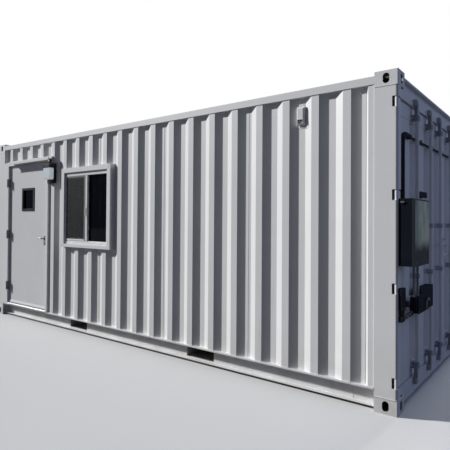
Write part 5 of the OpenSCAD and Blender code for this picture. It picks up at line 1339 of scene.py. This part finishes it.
# %% Cover strips, skirting and trim
STRIP_HALF, STRIP_T, SKIRT_TOP, STRIP_REACH, STRIPS = 0.018, 0.003, 0.072, 1.09, 5
wall_y_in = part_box("front_lining")[1][1]
back_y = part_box("back_lining")[0][1]
floor_z, ceiling_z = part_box("floor_deck")[1][2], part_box("ceiling_lining")[0][2]
strips = []
for x in np.linspace(-POST_X, POST_X, STRIPS + 2)[1:-1]:
    strips.append(slab((x - STRIP_HALF, back_y - STRIP_T, floor_z + SKIRT_TOP),
                       (x + STRIP_HALF, back_y, ceiling_z), 0.001))
    strips.append(sweep([(x, y, ceiling_z - STRIP_T / 2) for y in (-STRIP_REACH, STRIP_REACH)],
                        rectangle(2 * STRIP_HALF, STRIP_T, 0.001), UP))
make("room_strips", "aluminium", *strips)
skirt = [(0.0, 0.0), (0.012, 0.0), (0.012, 0.058), (0.006, 0.070), (0.0, 0.070)]
room_x0, room_x1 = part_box("blank_end_lining")[1][0], 2.85
make("skirting", "frame_white",
     sweep([(room_x1, back_y, floor_z), (room_x0, back_y, floor_z)], skirt, UP),
     sweep([(door_right + 0.004, wall_y_in, floor_z), (room_x1, wall_y_in, floor_z)], skirt, UP))
TRIM_W, TRIM_T = 0.040, 0.004
head_low, head_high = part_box("door_frame")
trim_x, trim_y, trim_top = head_high[0] - 0.012, head_high[1] + TRIM_T / 2, head_high[2] - 0.02
make("inner_door_trim", "frame_white",
     sweep([(trim_x, trim_y, floor_z), (trim_x, trim_y, trim_top), (head_low[0] + 0.080, trim_y, trim_top)],
           rectangle(TRIM_W, TRIM_T, 0.001), BACK))

# %% [markdown]
# ## Blank end and floor screws
#
# The far end is a corrugated sheet too, and a weld runs down each of its upright edges. In the room, pairs
# of screw heads cross the plywood floor in rows. They are tiny, so one flat form with eight sides does.

# %% End welds and floor screws
end_low, end_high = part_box("blank_end_wall")
end_seams = [bead([(end_low[0] - PROUD, y, z) for z in (end_low[2] + 0.001, end_high[2] - 0.001)],
                  LEFT, 0.003, 0.014)
             for y in (end_low[1] + 0.002, end_high[1] - 0.002)]
make("blank_end_welds", "weld_white", *end_seams)
ROWS, ROW_END, ACROSS, ACROSS_REACH, PAIR_HALF = 18, 0.15, 7, 0.99, 0.012
deck_low, deck_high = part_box("floor_deck")
heads = [(x + d, y, deck_high[2] - 0.0006)
         for x in np.linspace(deck_low[0] + ROW_END, deck_high[0] - ROW_END, ROWS)
         for y in np.linspace(-ACROSS_REACH, ACROSS_REACH, ACROSS) for d in (-PAIR_HALF, PAIR_HALF)]
head = spin([(0.0048, 0.0), (0.0048, 0.0008), (0.002, 0.0009)], HERE, UP, 8)
make("floor_screws", "zinc", copies(head, heads))

# %% [markdown]
# ## Floor
#
# The floor is a plain pale plane. A camera ray and a ray through glass see it pale, and a reflection sees
# it pale in part. For the light that it would throw back at the container it is dark, because a pale plane
# of this size would lift every shadow.

# %% Floor
MIRRORED = 0.2
BOUNCE = rgb(0.045, 0.045, 0.047)


def seen_directly():
    """1 for a camera ray or a ray through glass, MIRRORED for a reflection, 0 for all other light."""
    ray = Value.add("LightPath", {})
    camera_ray, glossy, through = [Value(ray.socket.node.outputs[name])
                                   for name in ("Is Camera Ray", "Is Glossy Ray", "Is Transmission Ray")]
    return camera_ray.most(glossy * MIRRORED).most(through)


def floor_material():
    """Faintly cloudy and pale to the camera, and dark to the light that it throws back at the container."""
    material = begin("floor")
    p = place()
    tone = mix(noise(p, 1.3, 3.0) * 0.5, rgb(0.80, 0.80, 0.79), rgb(0.76, 0.76, 0.755))
    tone = mix(seen_directly(), BOUNCE, tone)
    return finish(material, Base_Color=tone, Roughness=0.8)


floor_mesh = bpy.data.meshes.new("floor")
half = 60.0
floor_mesh.from_pydata([(-half, -half, 0), (half, -half, 0), (half, half, 0), (-half, half, 0)], [],
                       [(0, 1, 2, 3)])
floor = bpy.data.objects.new("floor", floor_mesh)
bpy.context.scene.collection.objects.link(floor)
floor_mesh.materials.append(floor_material())
print("floor", 2 * half, "m wide")

# %% [markdown]
# ## World
#
# The world is white to the same rays. The light that it sheds on the container is weak and bluish, as in
# open shade, so that the key lamp alone decides where the sun falls.

# %% World
AMBIENT = 0.08
SHADE_BLUE, PLAIN_WHITE = rgb(0.54, 0.64, 1.0), rgb(1.0, 1.0, 1.0)
world = bpy.data.worlds.new("world")
world.use_nodes = True
bpy.context.scene.world = world
Value.tree = world.node_tree
world.node_tree.nodes.clear()
strength = seen_directly() * (1.0 - AMBIENT) + AMBIENT
tint = mix(seen_directly(), SHADE_BLUE, PLAIN_WHITE)
sky = Value.add("Background", {"Color": tint, "Strength": strength})
out = world.node_tree.nodes.new("ShaderNodeOutputWorld")
world.node_tree.links.new(sky.socket, out.inputs["Surface"])
print("world light", AMBIENT)

# %% [markdown]
# ## Lamps
#
# A key lamp from the front left gives the folds of the wall their bright and shaded flanks. Two weaker and
# softer lamps keep the back and the shaded end from going dark. No surface mirrors these two, because their
# mirror image would draw a bright rim round the castings.

# %% Lamps
def far_lamp(name, travel, energy, angle, color=(1.0, 1.0, 1.0)):
    """A lamp so far away that its light is parallel; its own Z axis points against the travel."""
    lamp = bpy.data.objects.new(name, bpy.data.lights.new(name, "SUN"))
    lamp.data.energy, lamp.data.angle, lamp.data.color = energy, math.radians(angle), color
    bpy.context.scene.collection.objects.link(lamp)
    z_axis = -np.array(travel) / np.linalg.norm(travel)
    x_axis = np.cross([0.0, 0.0, 1.0], z_axis)
    x_axis /= np.linalg.norm(x_axis)
    y_axis = np.cross(z_axis, x_axis)
    lamp.matrix_world = Matrix([list(row) for row in np.column_stack([x_axis, y_axis, z_axis])]).to_4x4()
    return lamp


key = far_lamp("key", (0.80, 0.385, -0.46), 3.9, 3)
back_fill = far_lamp("back_fill", (0.0, -0.93, -0.30), 1.4, 12)
side_fill = far_lamp("side_fill", (-0.85, -0.45, -0.27), 0.60, 60, (0.47, 0.60, 1.0))
for fill in (back_fill, side_fill):
    fill.visible_glossy = False
bpy.context.scene.view_settings.view_transform = "Standard"
print("lamps", [round(lamp.data.energy, 2) for lamp in (key, back_fill, side_fill)])

# %% [markdown]
